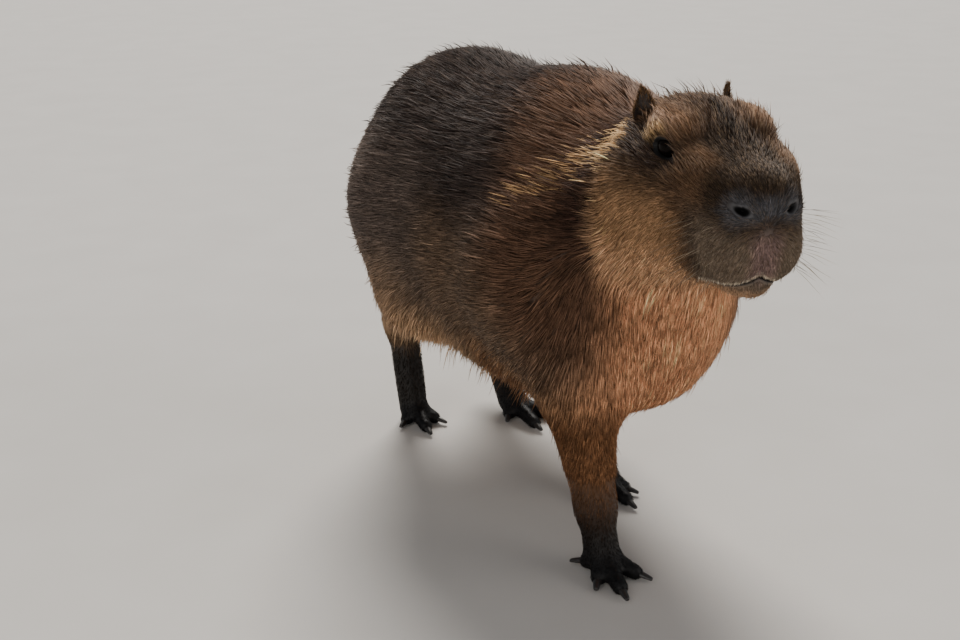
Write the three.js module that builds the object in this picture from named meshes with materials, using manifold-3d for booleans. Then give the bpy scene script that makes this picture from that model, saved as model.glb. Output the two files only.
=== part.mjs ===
// A capybara, life size, standing with one forefoot and one hindfoot ahead and its head turned a little to its right.
// Millimetres, +Z up. The animal faces -Y and its left side is +X. The origin is under the middle of the whole model, on the floor.
// Flesh is one smooth field of named masses. Each body part is a stretch of that field's surface, parted from the next by a thin cut.
import * as THREE from 'three';
import * as BufferGeometryUtils from 'three/addons/utils/BufferGeometryUtils.js';
import Module from 'manifold-3d';

const wasm = await Module();
wasm.setup();

// Driving dimensions
const GAP = 0.3; // between parts that touch
const EYE_RADIUS = 15;
const LID = 2.6; // how far the lids stand over the eyeball
const CLAW_LENGTH = 19;
const CORE_INSET = 4; // how far the solid core lies inside the coat's mean surface
const LOCK_LENGTH = 105;
const LOCK_WIDTH = 44;
const LOCK_SWAY = 0.3; // radians to either side of the lie at the root
const LOCK_SPACING = 61;
const LOCK_TRIALS = 4000;
const LOCK_LEAST = 3500; // cubic millimetres: a lock that a crease folds smaller is left out
const LOCK_SEED = 7;
const SIDES = { right: -1, left: 1 };

// How finely each part's surface is divided
const TRUNK_CELL = 34;
const NECK_CELL = 19;
const LEG_CELL = 17;
const FOOT_CELL = 11.5;
const HEAD_CELL = 13;
const SLIVER = 0.06; // detail smaller than this, left by a cut, is joined away
const FLATNESS = 0.1; // how far a surface may stray when its flatter triangles are joined, as a share of the cell

// A point from its distances forward, to the left and up.
const at = (forward, left, up) => new THREE.Vector3(left, -forward, up);

// The fields of simple masses, each a signed distance in millimetres

function lump(frame, centre, [length, width, height]) {
  const place = frame.clone().multiply(new THREE.Matrix4().setPosition(centre));
  const m = place.invert().elements;
  return (x, y, z) => {
    const a = (m[0] * x + m[4] * y + m[8] * z + m[12]) / width;
    const b = (m[1] * x + m[5] * y + m[9] * z + m[13]) / length;
    const c = (m[2] * x + m[6] * y + m[10] * z + m[14]) / height;
    const near = Math.sqrt(a * a + b * b + c * c);
    const far = Math.hypot(a / width, b / length, c / height);
    return far < 1e-9 ? -Math.min(length, width, height) : (near * (near - 1)) / far;
  };
}

function block(frame, centre, [length, width, height], round) {
  const m = frame.clone().multiply(new THREE.Matrix4().setPosition(centre)).invert().elements;
  return (x, y, z) => {
    const a = Math.abs(m[0] * x + m[4] * y + m[8] * z + m[12]) - width + round;
    const b = Math.abs(m[1] * x + m[5] * y + m[9] * z + m[13]) - length + round;
    const c = Math.abs(m[2] * x + m[6] * y + m[10] * z + m[14]) - height + round;
    const outside = Math.hypot(Math.max(a, 0), Math.max(b, 0), Math.max(c, 0));
    return outside + Math.min(Math.max(a, b, c), 0) - round;
  };
}

function bone(frame, from, fromRadius, to, toRadius) {
  const a = from.clone().applyMatrix4(frame);
  const line = to.clone().applyMatrix4(frame).sub(a);
  const l2 = line.lengthSq();
  const taper = fromRadius - toRadius;
  const a2 = l2 - taper * taper;
  return (x, y, z) => {
    const px = x - a.x, py = y - a.y, pz = z - a.z;
    const s = px * line.x + py * line.y + pz * line.z;
    const e = s - l2;
    const x2 = (px * l2 - line.x * s) ** 2 + (py * l2 - line.y * s) ** 2 + (pz * l2 - line.z * s) ** 2;
    const s2 = s * s * l2, e2 = e * e * l2;
    const k = Math.sign(taper) * taper * taper * x2;
    if (Math.sign(e) * a2 * e2 > k) return Math.sqrt(x2 + e2) / l2 - toRadius;
    if (Math.sign(s) * a2 * s2 < k) return Math.sqrt(x2 + s2) / l2 - fromRadius;
    return (Math.sqrt((x2 * a2) / l2) + s * taper) / l2 - fromRadius;
  };
}

// The whole animal's flesh: masses join softly, each over its own blend width
const flesh = [];
const add = (blend, distance) => flesh.push({ blend, distance });

function field(x, y, z) {
  let d = 1e6;
  for (const { blend, distance } of flesh) {
    const e = distance(x, y, z);
    const h = Math.max(blend - Math.abs(d - e), 0) / blend;
    d = Math.min(d, e) - (h * h * blend) / 4;
  }
  return d;
}

const body = new THREE.Matrix4();

// Trunk: a deep barrel, high and round at the rump, with the belly slung between the legs
add(1, lump(body, at(-228, 0, 350), [176, 156, 190]));
add(90, lump(body, at(-50, 0, 332), [250, 172, 196]));
add(90, lump(body, at(120, 0, 338), [160, 138, 178]));
add(60, lump(body, at(60, 10, 452), [150, 100, 92]));
add(60, lump(body, at(210, 0, 292), [98, 104, 118]));

// Neck: short and thick, rising from the shoulders to the head
add(70, bone(body, at(190, -6, 380), 108, at(304, -30, 468), 80));
add(50, bone(body, at(240, -6, 330), 88, at(330, -34, 446), 70));

// Head, in its own frame with the origin midway between the eyes
const head = new THREE.Matrix4()
  .makeTranslation(at(389, -39, 525))
  .multiply(new THREE.Matrix4().makeRotationZ(THREE.MathUtils.degToRad(-11)))
  .multiply(new THREE.Matrix4().makeRotationX(THREE.MathUtils.degToRad(-1)));
const headInverse = head.clone().invert();
add(30, lump(head, at(-46, 0, -10), [76, 60, 48]));
add(36, bone(head, at(-16, 0, -4), 42, at(84, 0, -36), 38));
add(30, block(head, at(58, 0, -56), [64, 46, 48], 34));
add(24, lump(head, at(28, 0, -98), [80, 42, 30]));
add(12, lump(head, at(88, 0, -110), [28, 22, 15]));
for (const side of Object.values(SIDES)) {
  add(36, lump(head, at(-22, side * 34, -62), [72, 36, 54]));
  add(14, lump(head, at(97, side * 21, -76), [28, 25, 29]));
  add(16, lump(head, at(-2, side * 38, 18), [36, 20, 20]));
  add(20, lump(head, at(44, side * 36, -14), [48, 22, 24]));
}

// Legs: the joints of each, then its toe tips
const LEGS = {
  foreleg_right: {
    joints: [[at(150, -92, 330), 90], [at(234, -90, 222), 46], [at(262, -80, 76), 23]],
    palm: [at(280, -80, 21), 22],
    claws: [at(253, -105, 0), at(320, -112, 0), at(354, -92, 0), at(330, -44, 0)],
  },
  foreleg_left: {
    joints: [[at(130, 92, 330), 90], [at(86, 74, 222), 46], [at(78, 32, 76), 23]],
    palm: [at(100, 30, 21), 22],
    claws: [at(78, 64, 0), at(140, 61, 0), at(174, 36, 0), at(148, -8, 0)],
  },
  hindleg_right: {
    joints: [[at(-220, -78, 330), 100], [at(-160, -108, 235), 62], [at(-256, -102, 146), 27]],
    palm: [at(-222, -101, 20), 21],
    claws: [at(-192, -134, 0), at(-150, -106, 0), at(-176, -70, 0)],
  },
  hindleg_left: {
    joints: [[at(-220, 78, 330), 100], [at(-150, 90, 220), 62], [at(-276, 56, 104), 27]],
    palm: [at(-178, 42, 20), 21],
    claws: [at(-118, 84, 0), at(-90, 44, 0), at(-140, 15, 0)],
  },
};
for (const leg of Object.values(LEGS)) {
  leg.toes = leg.claws.map((tip) => {
    const back = leg.palm[0].clone().sub(tip).setZ(0).setLength(CLAW_LENGTH);
    return tip.clone().add(back).setZ(8);
  });
}
for (const { joints, palm, toes } of Object.values(LEGS)) {
  joints.slice(1).forEach(([joint, radius], i) => {
    const [before, beforeRadius] = joints[i];
    add(i ? 26 : 60, bone(body, before, beforeRadius, joint, radius));
  });
  const [wrist, wristRadius] = joints[joints.length - 1];
  add(20, bone(body, wrist, wristRadius - 4, palm[0], palm[1]));
  for (const tip of toes) add(9, bone(body, palm[0], 13, tip, 9.5));
}

// The surface of a field inside a box, as the triangles of a net with one vertex in each grid cell that it crosses
function net(distance, low, high, cell) {
  const centre = low.clone().add(high).multiplyScalar(0.5);
  const half = high.clone().sub(low).multiplyScalar(0.5);
  const clipped = (x, y, z) => Math.max(
    distance(x, y, z),
    Math.abs(x - centre.x) - half.x + 1.5 * cell,
    Math.abs(y - centre.y) - half.y + 1.5 * cell,
    Math.abs(z - centre.z) - half.z + 1.5 * cell,
  );
  const [nx, ny, nz] = half.toArray().map((value) => Math.ceil((2 * value) / cell) + 1);
  const sample = new Float64Array(nx * ny * nz);
  const index = (i, j, k) => i + nx * (j + ny * k);
  const nodes = [];
  for (let k = 0; k < nz; k++) {
    for (let j = 0; j < ny; j++) {
      for (let i = 0; i < nx; i++) {
        nodes.push([i, j, k]);
        sample[index(i, j, k)] = clipped(low.x + i * cell, low.y + j * cell, low.z + k * cell);
      }
    }
  }

  const vertexOf = new Map();
  const vertices = [];
  for (const node of nodes) {
    const [i, j, k] = node;
    if (i === nx - 1 || j === ny - 1 || k === nz - 1) continue;
    const sum = [0, 0, 0];
    let crossings = 0;
    for (let edge = 0; edge < 12; edge++) {
      const axis = edge >> 2;
      const from = [0, 0, 0];
      from[(axis + 1) % 3] = edge & 1;
      from[(axis + 2) % 3] = (edge >> 1) & 1;
      const to = [...from];
      to[axis] = 1;
      const before = sample[index(i + from[0], j + from[1], k + from[2])];
      const after = sample[index(i + to[0], j + to[1], k + to[2])];
      if ((before < 0) === (after < 0)) continue;
      from[axis] = before / (before - after);
      for (let n = 0; n < 3; n++) sum[n] += from[n];
      crossings++;
    }
    if (!crossings) continue;
    const start = low.toArray();
    const point = node.map((steps, n) => start[n] + (steps + sum[n] / crossings) * cell);
    vertexOf.set(index(i, j, k), vertices.length / 3);
    vertices.push(...settle(clipped, point, cell));
  }

  const triangles = [];
  const span = (a, b) => Math.hypot(...[0, 1, 2].map((n) => vertices[3 * a + n] - vertices[3 * b + n]));
  for (const node of nodes) {
    if (node.includes(0)) continue;
    const inside = sample[index(...node)] < 0;
    for (let axis = 0; axis < 3; axis++) {
      const next = [...node];
      next[axis] += 1;
      if (next[axis] === [nx, ny, nz][axis]) continue;
      if (inside === sample[index(...next)] < 0) continue;
      const ring = [[0, 0], [1, 0], [1, 1], [0, 1]].map(([u, v]) => {
        const corner = [...node];
        corner[(axis + 1) % 3] -= u;
        corner[(axis + 2) % 3] -= v;
        return vertexOf.get(index(...corner));
      });
      if (!inside) ring.reverse();
      const [p, q, r, s] = ring;
      if (span(p, r) < span(q, s)) triangles.push(p, q, r, p, r, s);
      else triangles.push(p, q, s, q, r, s);
    }
  }
  return { vertices, triangles };
}

// Whether each edge of the triangles is walked once each way
function closed(triangles) {
  const walked = new Set();
  for (let i = 0; i < triangles.length; i++) {
    walked.add(`${triangles[i]} ${triangles[i % 3 === 2 ? i - 2 : i + 1]}`);
  }
  return walked.size === triangles.length;
}

// The surface of a field inside a box, as a solid. A grid that catches the surface twice in one cell is shifted.
function skin(distance, low, high, cell) {
  for (let shift = 0; shift < 9; shift++) {
    const { vertices, triangles } = net(distance, low.clone().subScalar((shift * cell) / 9), high, cell);
    if (!closed(triangles)) continue;
    const made = new wasm.Manifold(new wasm.Mesh({
      numProp: 3,
      vertProperties: new Float32Array(vertices),
      triVerts: new Uint32Array(triangles),
    }));
    return made.simplify(cell * FLATNESS);
  }
  throw new Error('no grid fits this surface');
}

// A point near the surface, moved onto it along the field's slope, by at most half a cell
function settle(distance, p, cell) {
  const h = 0.5;
  let [x, y, z] = p;
  for (let step = 0; step < 4; step++) {
    const d = distance(x, y, z);
    const gx = (distance(x + h, y, z) - distance(x - h, y, z)) / (2 * h);
    const gy = (distance(x, y + h, z) - distance(x, y - h, z)) / (2 * h);
    const gz = (distance(x, y, z + h) - distance(x, y, z - h)) / (2 * h);
    const g2 = Math.max(gx * gx + gy * gy + gz * gz, 0.05);
    x -= (d * gx) / g2;
    y -= (d * gy) / g2;
    z -= (d * gz) / g2;
  }
  const moved = Math.hypot(x - p[0], y - p[1], z - p[2]);
  const keep = Math.min(1, cell / 2 / Math.max(moved, 1e-9));
  return [x, y, z].map((value, n) => p[n] + (value - p[n]) * keep);
}

// A three.js geometry as a solid
function solid(geometry) {
  const g = geometry.clone();
  for (const name of Object.keys(g.attributes)) if (name !== 'position') g.deleteAttribute(name);
  const merged = BufferGeometryUtils.mergeVertices(g, 2e-3);
  return new wasm.Manifold(new wasm.Mesh({
    numProp: 3,
    vertProperties: new Float32Array(merged.attributes.position.array),
    triVerts: new Uint32Array(merged.index.array),
  }));
}

function geometryOf(made) {
  const mesh = made.getMesh();
  const geometry = new THREE.BufferGeometry();
  const position = new Float32Array(mesh.numVert * 3);
  for (let i = 0; i < mesh.numVert; i++) {
    position.set(mesh.vertProperties.subarray(i * mesh.numProp, i * mesh.numProp + 3), i * 3);
  }
  geometry.setAttribute('position', new THREE.BufferAttribute(position, 3));
  geometry.setIndex(new THREE.BufferAttribute(new Uint32Array(mesh.triVerts), 1));
  geometry.computeVertexNormals();
  return geometry;
}

// Everything beyond a plane, on the side its normal points to
const FAR = 3000;
function beyond(point, normal, gap = 0) {
  const direction = normal.clone().normalize();
  const turn = new THREE.Quaternion().setFromUnitVectors(new THREE.Vector3(0, 0, 1), direction);
  const middle = point.clone().addScaledVector(direction, FAR / 2 + gap);
  return solid(new THREE.BoxGeometry(FAR, FAR, FAR).applyQuaternion(turn).translate(middle.x, middle.y, middle.z));
}

// A solid of revolution with a rounded end about each of two points
function roundCone(from, fromRadius, to, toRadius, sides, arcs = 6) {
  const length = from.distanceTo(to);
  const tilt = Math.asin((fromRadius - toRadius) / length);
  const profile = [];
  for (let i = 0; i <= arcs; i++) {
    const a = -Math.PI / 2 + ((Math.PI / 2 + tilt) * i) / arcs;
    profile.push(new THREE.Vector2(i ? fromRadius * Math.cos(a) : 0, fromRadius * Math.sin(a)));
  }
  for (let i = 0; i <= arcs; i++) {
    const a = tilt + ((Math.PI / 2 - tilt) * i) / arcs;
    profile.push(new THREE.Vector2(i < arcs ? toRadius * Math.cos(a) : 0, length + toRadius * Math.sin(a)));
  }
  const direction = to.clone().sub(from).normalize();
  const turn = new THREE.Quaternion().setFromUnitVectors(new THREE.Vector3(0, 1, 0), direction);
  return solid(new THREE.LatheGeometry(profile, sides).applyQuaternion(turn).translate(from.x, from.y, from.z));
}

// An ellipsoid in a frame
function egg(frame, centre, [length, width, height], segments, grow = 0) {
  const shape = new THREE.SphereGeometry(1, segments, Math.round(segments * 0.7));
  shape.rotateX(Math.PI / 2);
  shape.scale(width + grow, length + grow, height + grow).translate(centre.x, centre.y, centre.z);
  return solid(shape.applyMatrix4(frame));
}

const box = (fromForward, toForward, fromLeft, toLeft, fromUp, toUp) => [
  new THREE.Vector3(Math.min(fromLeft, toLeft), -Math.max(fromForward, toForward), fromUp),
  new THREE.Vector3(Math.max(fromLeft, toLeft), -Math.min(fromForward, toForward), toUp),
];

const matt = { roughness: 0.9, metalness: 0 };
const MATERIALS = {
  fur: new THREE.MeshStandardMaterial({ color: 0x6b4a30, ...matt }),
  dark_fur: new THREE.MeshStandardMaterial({ color: 0x2c2622, ...matt }),
  ear_skin: new THREE.MeshStandardMaterial({ color: 0x3a2d26, ...matt }),
  eye: new THREE.MeshStandardMaterial({ color: 0x0b0706, roughness: 0.08, metalness: 0 }),
  claw: new THREE.MeshStandardMaterial({ color: 0x17140f, roughness: 0.4, metalness: 0 }),
};
const animal = new THREE.Group();

// The largest closed surface of a solid, so that a loose scrap from a cut is dropped
function largest(made) {
  return made.decompose().reduce((best, piece) => (piece.volume() > best.volume() ? piece : best));
}

function part(name, made, material) {
  const kept = largest(solid(geometryOf(largest(made.simplify(SLIVER)))));
  const mesh = new THREE.Mesh(geometryOf(kept), MATERIALS[material]);
  mesh.name = name;
  animal.add(mesh);
  return mesh;
}

// Where the neck leaves the shoulders, and the head leaves the neck
const NECK_CUT = { point: at(236, -20, 440), normal: at(0.8, -0.08, 0.6) };
const HEAD_CUT = { point: at(300, -36, 500), normal: at(0.97, -0.16, 0.24) };

// Each leg's share of the flesh, an outline in side view that runs from near the midline out past the flank
const SHARE = [-14, 20, 22]; // how far the outline reaches past each joint's own radius
const INNER = [46, 8, 8]; // how far inside the limb, and at the top inside the flank, it starts
function legShare(name, grow = 0) {
  const { joints } = LEGS[name];
  const side = SIDES[name.split('_')[1]];
  const discs = joints.map(([joint, radius], i) => {
    const depth = i ? Math.abs(joint.x) - radius - INNER[i] : INNER[i];
    const start = Math.max(0.5 * GAP, depth) - grow;
    const end = 260;
    const disc = new THREE.CylinderGeometry(1, 1, end - start, 18).rotateZ(Math.PI / 2);
    disc.scale(1, radius + SHARE[i] + grow, radius + SHARE[i] + grow);
    return solid(disc.translate((side * (start + end)) / 2, joint.y, joint.z));
  });
  return wasm.Manifold.hull(discs.slice(0, 2)).add(wasm.Manifold.hull(discs.slice(1)));
}

// Where the coat is long enough for locks: 0 on the face and the lower legs, 1 on the rest
function furred(x, y, z) {
  const inHead = new THREE.Vector3(x, y, z).applyMatrix4(headInverse);
  const behindFace = THREE.MathUtils.smoothstep(inHead.y, 35, 75);
  const throat = THREE.MathUtils.smoothstep(-inHead.z, 130, 170);
  const back = THREE.MathUtils.smoothstep(y, -290, -250);
  return THREE.MathUtils.smoothstep(z, 180, 240) * Math.max(behindFace, throat, back);
}

// The solid core under the locks
function core(x, y, z) {
  return field(x, y, z) + CORE_INSET * furred(x, y, z);
}

function normalAt(p) {
  const slope = (axis) => core(...p.clone().add(axis).toArray()) - core(...p.clone().sub(axis).toArray());
  return new THREE.Vector3(
    slope(new THREE.Vector3(1, 0, 0)),
    slope(new THREE.Vector3(0, 1, 0)),
    slope(new THREE.Vector3(0, 0, 1)),
  ).normalize();
}

// Which way the hair lies: back along the head, neck and trunk, down the chest, the belly's sides and the legs
function lie(p) {
  const low = THREE.MathUtils.smoothstep(330 - p.z, 0, 160) * 1.1;
  const chest = THREE.MathUtils.smoothstep(-p.y, 190, 300) * THREE.MathUtils.smoothstep(440 - p.z, 0, 120);
  return at(-1 + 0.8 * chest, 0, -0.16 - low - 1.6 * chest);
}

// A lock: flat, tapered and bent along the core, its root sunk well in and its tip lying clear over the next root
const LOCK_STATIONS = [
  { along: 0, width: 0.6, ridge: -2, edge: -8 },
  { along: 0.35, width: 1, ridge: 4.5, edge: 0 },
  { along: 0.7, width: 0.72, ridge: 8, edge: 4 },
];
const LOCK_TIP = 9;
function lock(root, length, width, sway) {
  const p = root.clone();
  const vertices = [];
  let travelled = 0;
  const walk = (along) => {
    const n = normalAt(p);
    const step = lie(p).applyAxisAngle(n, sway * (1 - 2 * along)).projectOnPlane(n);
    p.add(step.setLength((along - travelled) * length));
    p.addScaledVector(normalAt(p), -core(p.x, p.y, p.z));
    travelled = along;
  };
  for (const { along, width: share, ridge, edge } of LOCK_STATIONS) {
    if (along) walk(along);
    const n = normalAt(p);
    const half = lie(p).applyAxisAngle(n, sway * (1 - 2 * along)).cross(n).setLength((width * share) / 2);
    for (const side of [-1, 0, 1]) {
      const v = p.clone().addScaledVector(half, side);
      const height = side ? edge : ridge;
      v.addScaledVector(n, height - core(v.x, v.y, v.z));
      vertices.push(v);
    }
  }
  walk(1);
  vertices.push(p.clone().addScaledVector(normalAt(p), LOCK_TIP));
  const triangles = [0, 2, 1];
  for (let ring = 0; ring < LOCK_STATIONS.length - 1; ring++) {
    for (let i = 0; i < 3; i++) {
      const a = 3 * ring + i;
      const b = 3 * ring + ((i + 1) % 3);
      triangles.push(a, b, b + 3, a, b + 3, a + 3);
    }
  }
  const last = 3 * (LOCK_STATIONS.length - 1);
  for (let i = 0; i < 3; i++) triangles.push(last + i, last + ((i + 1) % 3), vertices.length - 1);
  return new wasm.Manifold(new wasm.Mesh({
    numProp: 3,
    vertProperties: new Float32Array(vertices.flatMap((v) => v.toArray())),
    triVerts: new Uint32Array(triangles),
  }));
}

// A seeded source of numbers from 0 to 1
let seed = LOCK_SEED;
function random() {
  seed = (seed + 0x6d2b79f5) | 0;
  let t = Math.imul(seed ^ (seed >>> 15), 1 | seed);
  t = (t + Math.imul(t ^ (t >>> 7), 61 | t)) ^ t;
  return ((t ^ (t >>> 14)) >>> 0) / 4294967296;
}

// The coat's locks, at roots spread evenly over the core
function growLocks() {
  const whole = geometryOf(skin(core, ...box(-470, 480, -240, 240, 60, 640), TRUNK_CELL));
  const triangle = new THREE.Triangle();
  const sumOfAreas = [];
  let total = 0;
  for (let i = 0; i < whole.index.count; i += 3) {
    triangle.setFromAttributeAndIndices(whole.attributes.position, ...whole.index.array.slice(i, i + 3));
    total += triangle.getArea();
    sumOfAreas.push(total);
  }
  const roots = [];
  for (let trial = 0; trial < LOCK_TRIALS; trial++) {
    const draw = random() * total;
    const i = 3 * sumOfAreas.findIndex((sum) => sum > draw);
    triangle.setFromAttributeAndIndices(whole.attributes.position, ...whole.index.array.slice(i, i + 3));
    const u = Math.sqrt(random());
    const v = random();
    const p = triangle.a.clone().multiplyScalar(1 - u);
    p.addScaledVector(triangle.b, u * (1 - v)).addScaledVector(triangle.c, u * v);
    p.addScaledVector(normalAt(p), -core(p.x, p.y, p.z));
    if (furred(p.x, p.y, p.z) < 0.6) continue;
    if (roots.every((root) => root.distanceTo(p) > LOCK_SPACING)) roots.push(p);
  }
  const vary = (size) => size * (0.85 + 0.3 * random());
  const made = roots.map((root) => lock(root, vary(LOCK_LENGTH), vary(LOCK_WIDTH), LOCK_SWAY * (2 * random() - 1)));
  return made.filter((each) => each.volume() > LOCK_LEAST);
}
const locks = wasm.Manifold.union(growLocks());

function makeTrunk() {
  let trunk = skin(core, ...box(-470, 370, -240, 240, 60, 610), TRUNK_CELL).add(locks);
  trunk = trunk.subtract(beyond(NECK_CUT.point, NECK_CUT.normal, -GAP));
  for (const name of Object.keys(LEGS)) trunk = trunk.subtract(legShare(name, GAP));
  part('torso', trunk, 'fur');
}

function makeNeck() {
  const neck = skin(core, ...box(120, 480, -220, 170, 180, 640), NECK_CELL)
    .add(locks)
    .intersect(beyond(NECK_CUT.point, NECK_CUT.normal))
    .subtract(beyond(HEAD_CUT.point, HEAD_CUT.normal, -GAP));
  part('neck', neck, 'fur');
}

// A claw: a blunt cone in a nail bed at the toe's tip, clear of the floor
function claw(palm, tip, grow = 0) {
  const along = tip.clone().sub(palm).setZ(0).normalize();
  const root = tip.clone().addScaledVector(along, 2).setZ(8.6);
  const point = tip.clone().addScaledVector(along, CLAW_LENGTH).setZ(4.6);
  return roundCone(root, 6.4 + grow, point, 3 + grow, 8, 2);
}

function makeLeg(name) {
  const { joints, palm, toes } = LEGS[name];
  const wrist = joints[2][0];
  const space = new THREE.Box3();
  joints.forEach(([joint, radius], i) => {
    const reach = radius + SHARE[i] + 2 * LEG_CELL;
    space.union(new THREE.Box3().setFromPoints([joint]).expandByScalar(reach));
  });
  const upper = skin(core, space.min, space.max, LEG_CELL).add(locks);
  const down = new THREE.Vector3(0, 0, -1);
  part(name, upper.intersect(legShare(name)).subtract(beyond(wrist, down, -GAP)), 'fur');

  const ends = [palm[0], wrist, ...toes];
  const margin = 45;
  const limits = new THREE.Box3().setFromPoints(ends).expandByScalar(margin);
  let foot = skin(core, new THREE.Vector3(limits.min.x, limits.min.y, -25), limits.max, FOOT_CELL)
    .intersect(beyond(wrist, down))
    .subtract(beyond(at(0, 0, 0), down));
  toes.forEach((tip, i) => {
    foot = foot.subtract(claw(palm[0], tip, GAP));
    part(`${name.replace('leg', 'foot')}_claw_${i + 1}`, claw(palm[0], tip), 'claw');
  });
  part(name.replace('leg', 'foot'), foot, 'dark_fur');
}

// The point of the skin that a line from inside the head meets, both in the head's frame
function onSkin(from, towards) {
  const p = from.clone().applyMatrix4(head);
  const direction = towards.clone().sub(from).transformDirection(head);
  for (let step = 0; step < 60; step++) p.addScaledVector(direction, -0.7 * field(p.x, p.y, p.z));
  return p;
}

// A cutter along points of the skin, for the line of the mouth and the furrow above it
function groove(points, radius) {
  const pieces = points.slice(1).map((point, i) => roundCone(points[i], radius, point, radius, 5, 1));
  return wasm.Manifold.union(pieces);
}

function makeHead() {
  let made = skin(core, ...box(250, 590, -160, 100, 280, 650), HEAD_CELL)
    .add(locks)
    .intersect(beyond(HEAD_CUT.point, HEAD_CUT.normal));

  const lips = [];
  for (let i = -1; i <= 1; i += 0.25) {
    const turn = i * 1.25;
    const drop = -101 - 15 * Math.abs(i) ** 1.2;
    lips.push(onSkin(at(66, 0, -92), at(66 + 50 * Math.cos(turn), 50 * Math.sin(turn), drop)));
  }
  made = made.subtract(groove(lips, 2.6));
  const furrow = [-52, -68, -84, -98].map((up) => onSkin(at(66, 0, -70), at(150, 0, up - 6)));
  made = made.subtract(groove(furrow, 1.8));

  for (const [sideName, side] of Object.entries(SIDES)) {
    const nostril = onSkin(at(70, side * 16, -40), at(124, side * 26, -34)).applyMatrix4(head.clone().invert());
    const nostrilFrame = head.clone()
      .multiply(new THREE.Matrix4().makeTranslation(nostril))
      .multiply(new THREE.Matrix4().makeRotationZ(THREE.MathUtils.degToRad(side * 30)))
      .multiply(new THREE.Matrix4().makeRotationY(THREE.MathUtils.degToRad(side * 20)));
    made = made.subtract(egg(nostrilFrame, at(0, 0, 0), [11, 8, 5.5], 9));

    const eye = head.clone()
      .multiply(new THREE.Matrix4().makeTranslation(at(2, side * 43, 5)))
      .multiply(new THREE.Matrix4().makeRotationZ(THREE.MathUtils.degToRad(-side * 28)));
    const ball = (grow) => egg(eye, at(0, 0, 0), [EYE_RADIUS, EYE_RADIUS, EYE_RADIUS], 12, grow);
    const opening = egg(eye, at(0, side * 14, 0), [11.5, 12, 9.5], 12);
    made = made.add(ball(LID)).subtract(ball(GAP)).subtract(opening);
    part(`eye_${sideName}`, ball(0), 'eye');

    const earFrame = head.clone()
      .multiply(new THREE.Matrix4().makeTranslation(at(-68, side * 44, 30)))
      .multiply(new THREE.Matrix4().makeRotationZ(THREE.MathUtils.degToRad(side * 40)))
      .multiply(new THREE.Matrix4().makeRotationX(THREE.MathUtils.degToRad(10)));
    const ear = (grow) => egg(earFrame, at(0, 0, -3), [7, 12, 25], 10, grow);
    const cup = egg(earFrame, at(7, 0, 3), [9, 9.5, 17], 8);
    made = made.subtract(ear(GAP));
    part(`ear_${sideName}`, ear(0).subtract(cup), 'ear_skin');
  }
  part('head', made, 'fur');
}

makeTrunk();
makeNeck();
makeHead();
for (const name of Object.keys(LEGS)) makeLeg(name);

// The origin: on the floor, under the middle of the model
const bounds = new THREE.Box3().setFromObject(animal);
animal.position.set(-(bounds.min.x + bounds.max.x) / 2, -(bounds.min.y + bounds.max.y) / 2, -bounds.min.z);

export default animal;
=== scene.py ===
"""The capybara's looks: skin, coat, head, ears, eyes, whiskers and claws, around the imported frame.

The flesh is worked out in millimetres in the animal's own axes, facing -Y with its left towards +X,
and every finished mesh is in metres in the frame's axes.
"""
import math

import bmesh
import bpy
import numpy as np
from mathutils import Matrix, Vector
from mathutils.kdtree import KDTree


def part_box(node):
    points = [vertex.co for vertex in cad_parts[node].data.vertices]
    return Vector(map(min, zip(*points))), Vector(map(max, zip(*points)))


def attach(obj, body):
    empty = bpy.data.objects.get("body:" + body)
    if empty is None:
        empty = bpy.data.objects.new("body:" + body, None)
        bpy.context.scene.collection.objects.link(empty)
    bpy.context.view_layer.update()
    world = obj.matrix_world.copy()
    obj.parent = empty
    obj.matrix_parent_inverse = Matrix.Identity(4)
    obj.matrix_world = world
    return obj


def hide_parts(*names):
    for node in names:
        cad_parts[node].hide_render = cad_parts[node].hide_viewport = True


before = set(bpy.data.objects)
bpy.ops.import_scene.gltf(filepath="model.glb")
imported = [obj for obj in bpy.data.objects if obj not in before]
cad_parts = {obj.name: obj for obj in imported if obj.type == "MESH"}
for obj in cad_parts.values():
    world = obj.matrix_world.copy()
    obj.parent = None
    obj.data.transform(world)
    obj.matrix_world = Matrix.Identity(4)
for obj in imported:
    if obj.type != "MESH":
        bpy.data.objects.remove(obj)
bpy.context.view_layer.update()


# Camera
# The photo was taken standing, from the animal's front right, looking down at it with a normal lens.
# It is fixed by the eyes, ears, nostrils, mouth and toes, and has no shift or roll.
CAMERA_PLACE = (-0.8134, -1.3674, 0.8024)
CAMERA_PITCH = 19.86  # degrees below level
CAMERA_TURN = -26.62  # degrees from +Y
CAMERA_LENS = 48.75
camera_data = bpy.data.cameras.new("camera")
camera_data.lens = CAMERA_LENS
camera_data.sensor_width = 36
camera = bpy.data.objects.new("camera", camera_data)
camera.location = CAMERA_PLACE
camera.rotation_euler = (math.radians(90 - CAMERA_PITCH), 0, math.radians(CAMERA_TURN))
bpy.context.collection.objects.link(camera)
bpy.context.scene.camera = camera


# Skin
# One hide over trunk, neck, head, legs and feet, soft bare skin on the nose, lips, eyelids and soles.
# It lies inside the solids by the depth of the coat, and is one closed mesh with the folds of the face.
def at(forward, left, up):
    """A place or a way in the animal's axes."""
    return np.array([left, -forward, up], float)


def turn_z(degrees):
    c, s = math.cos(math.radians(degrees)), math.sin(math.radians(degrees))
    return np.array([[c, -s, 0], [s, c, 0], [0, 0, 1]])


def turn_x(degrees):
    c, s = math.cos(math.radians(degrees)), math.sin(math.radians(degrees))
    return np.array([[1, 0, 0], [0, c, -s], [0, s, c]])


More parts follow.
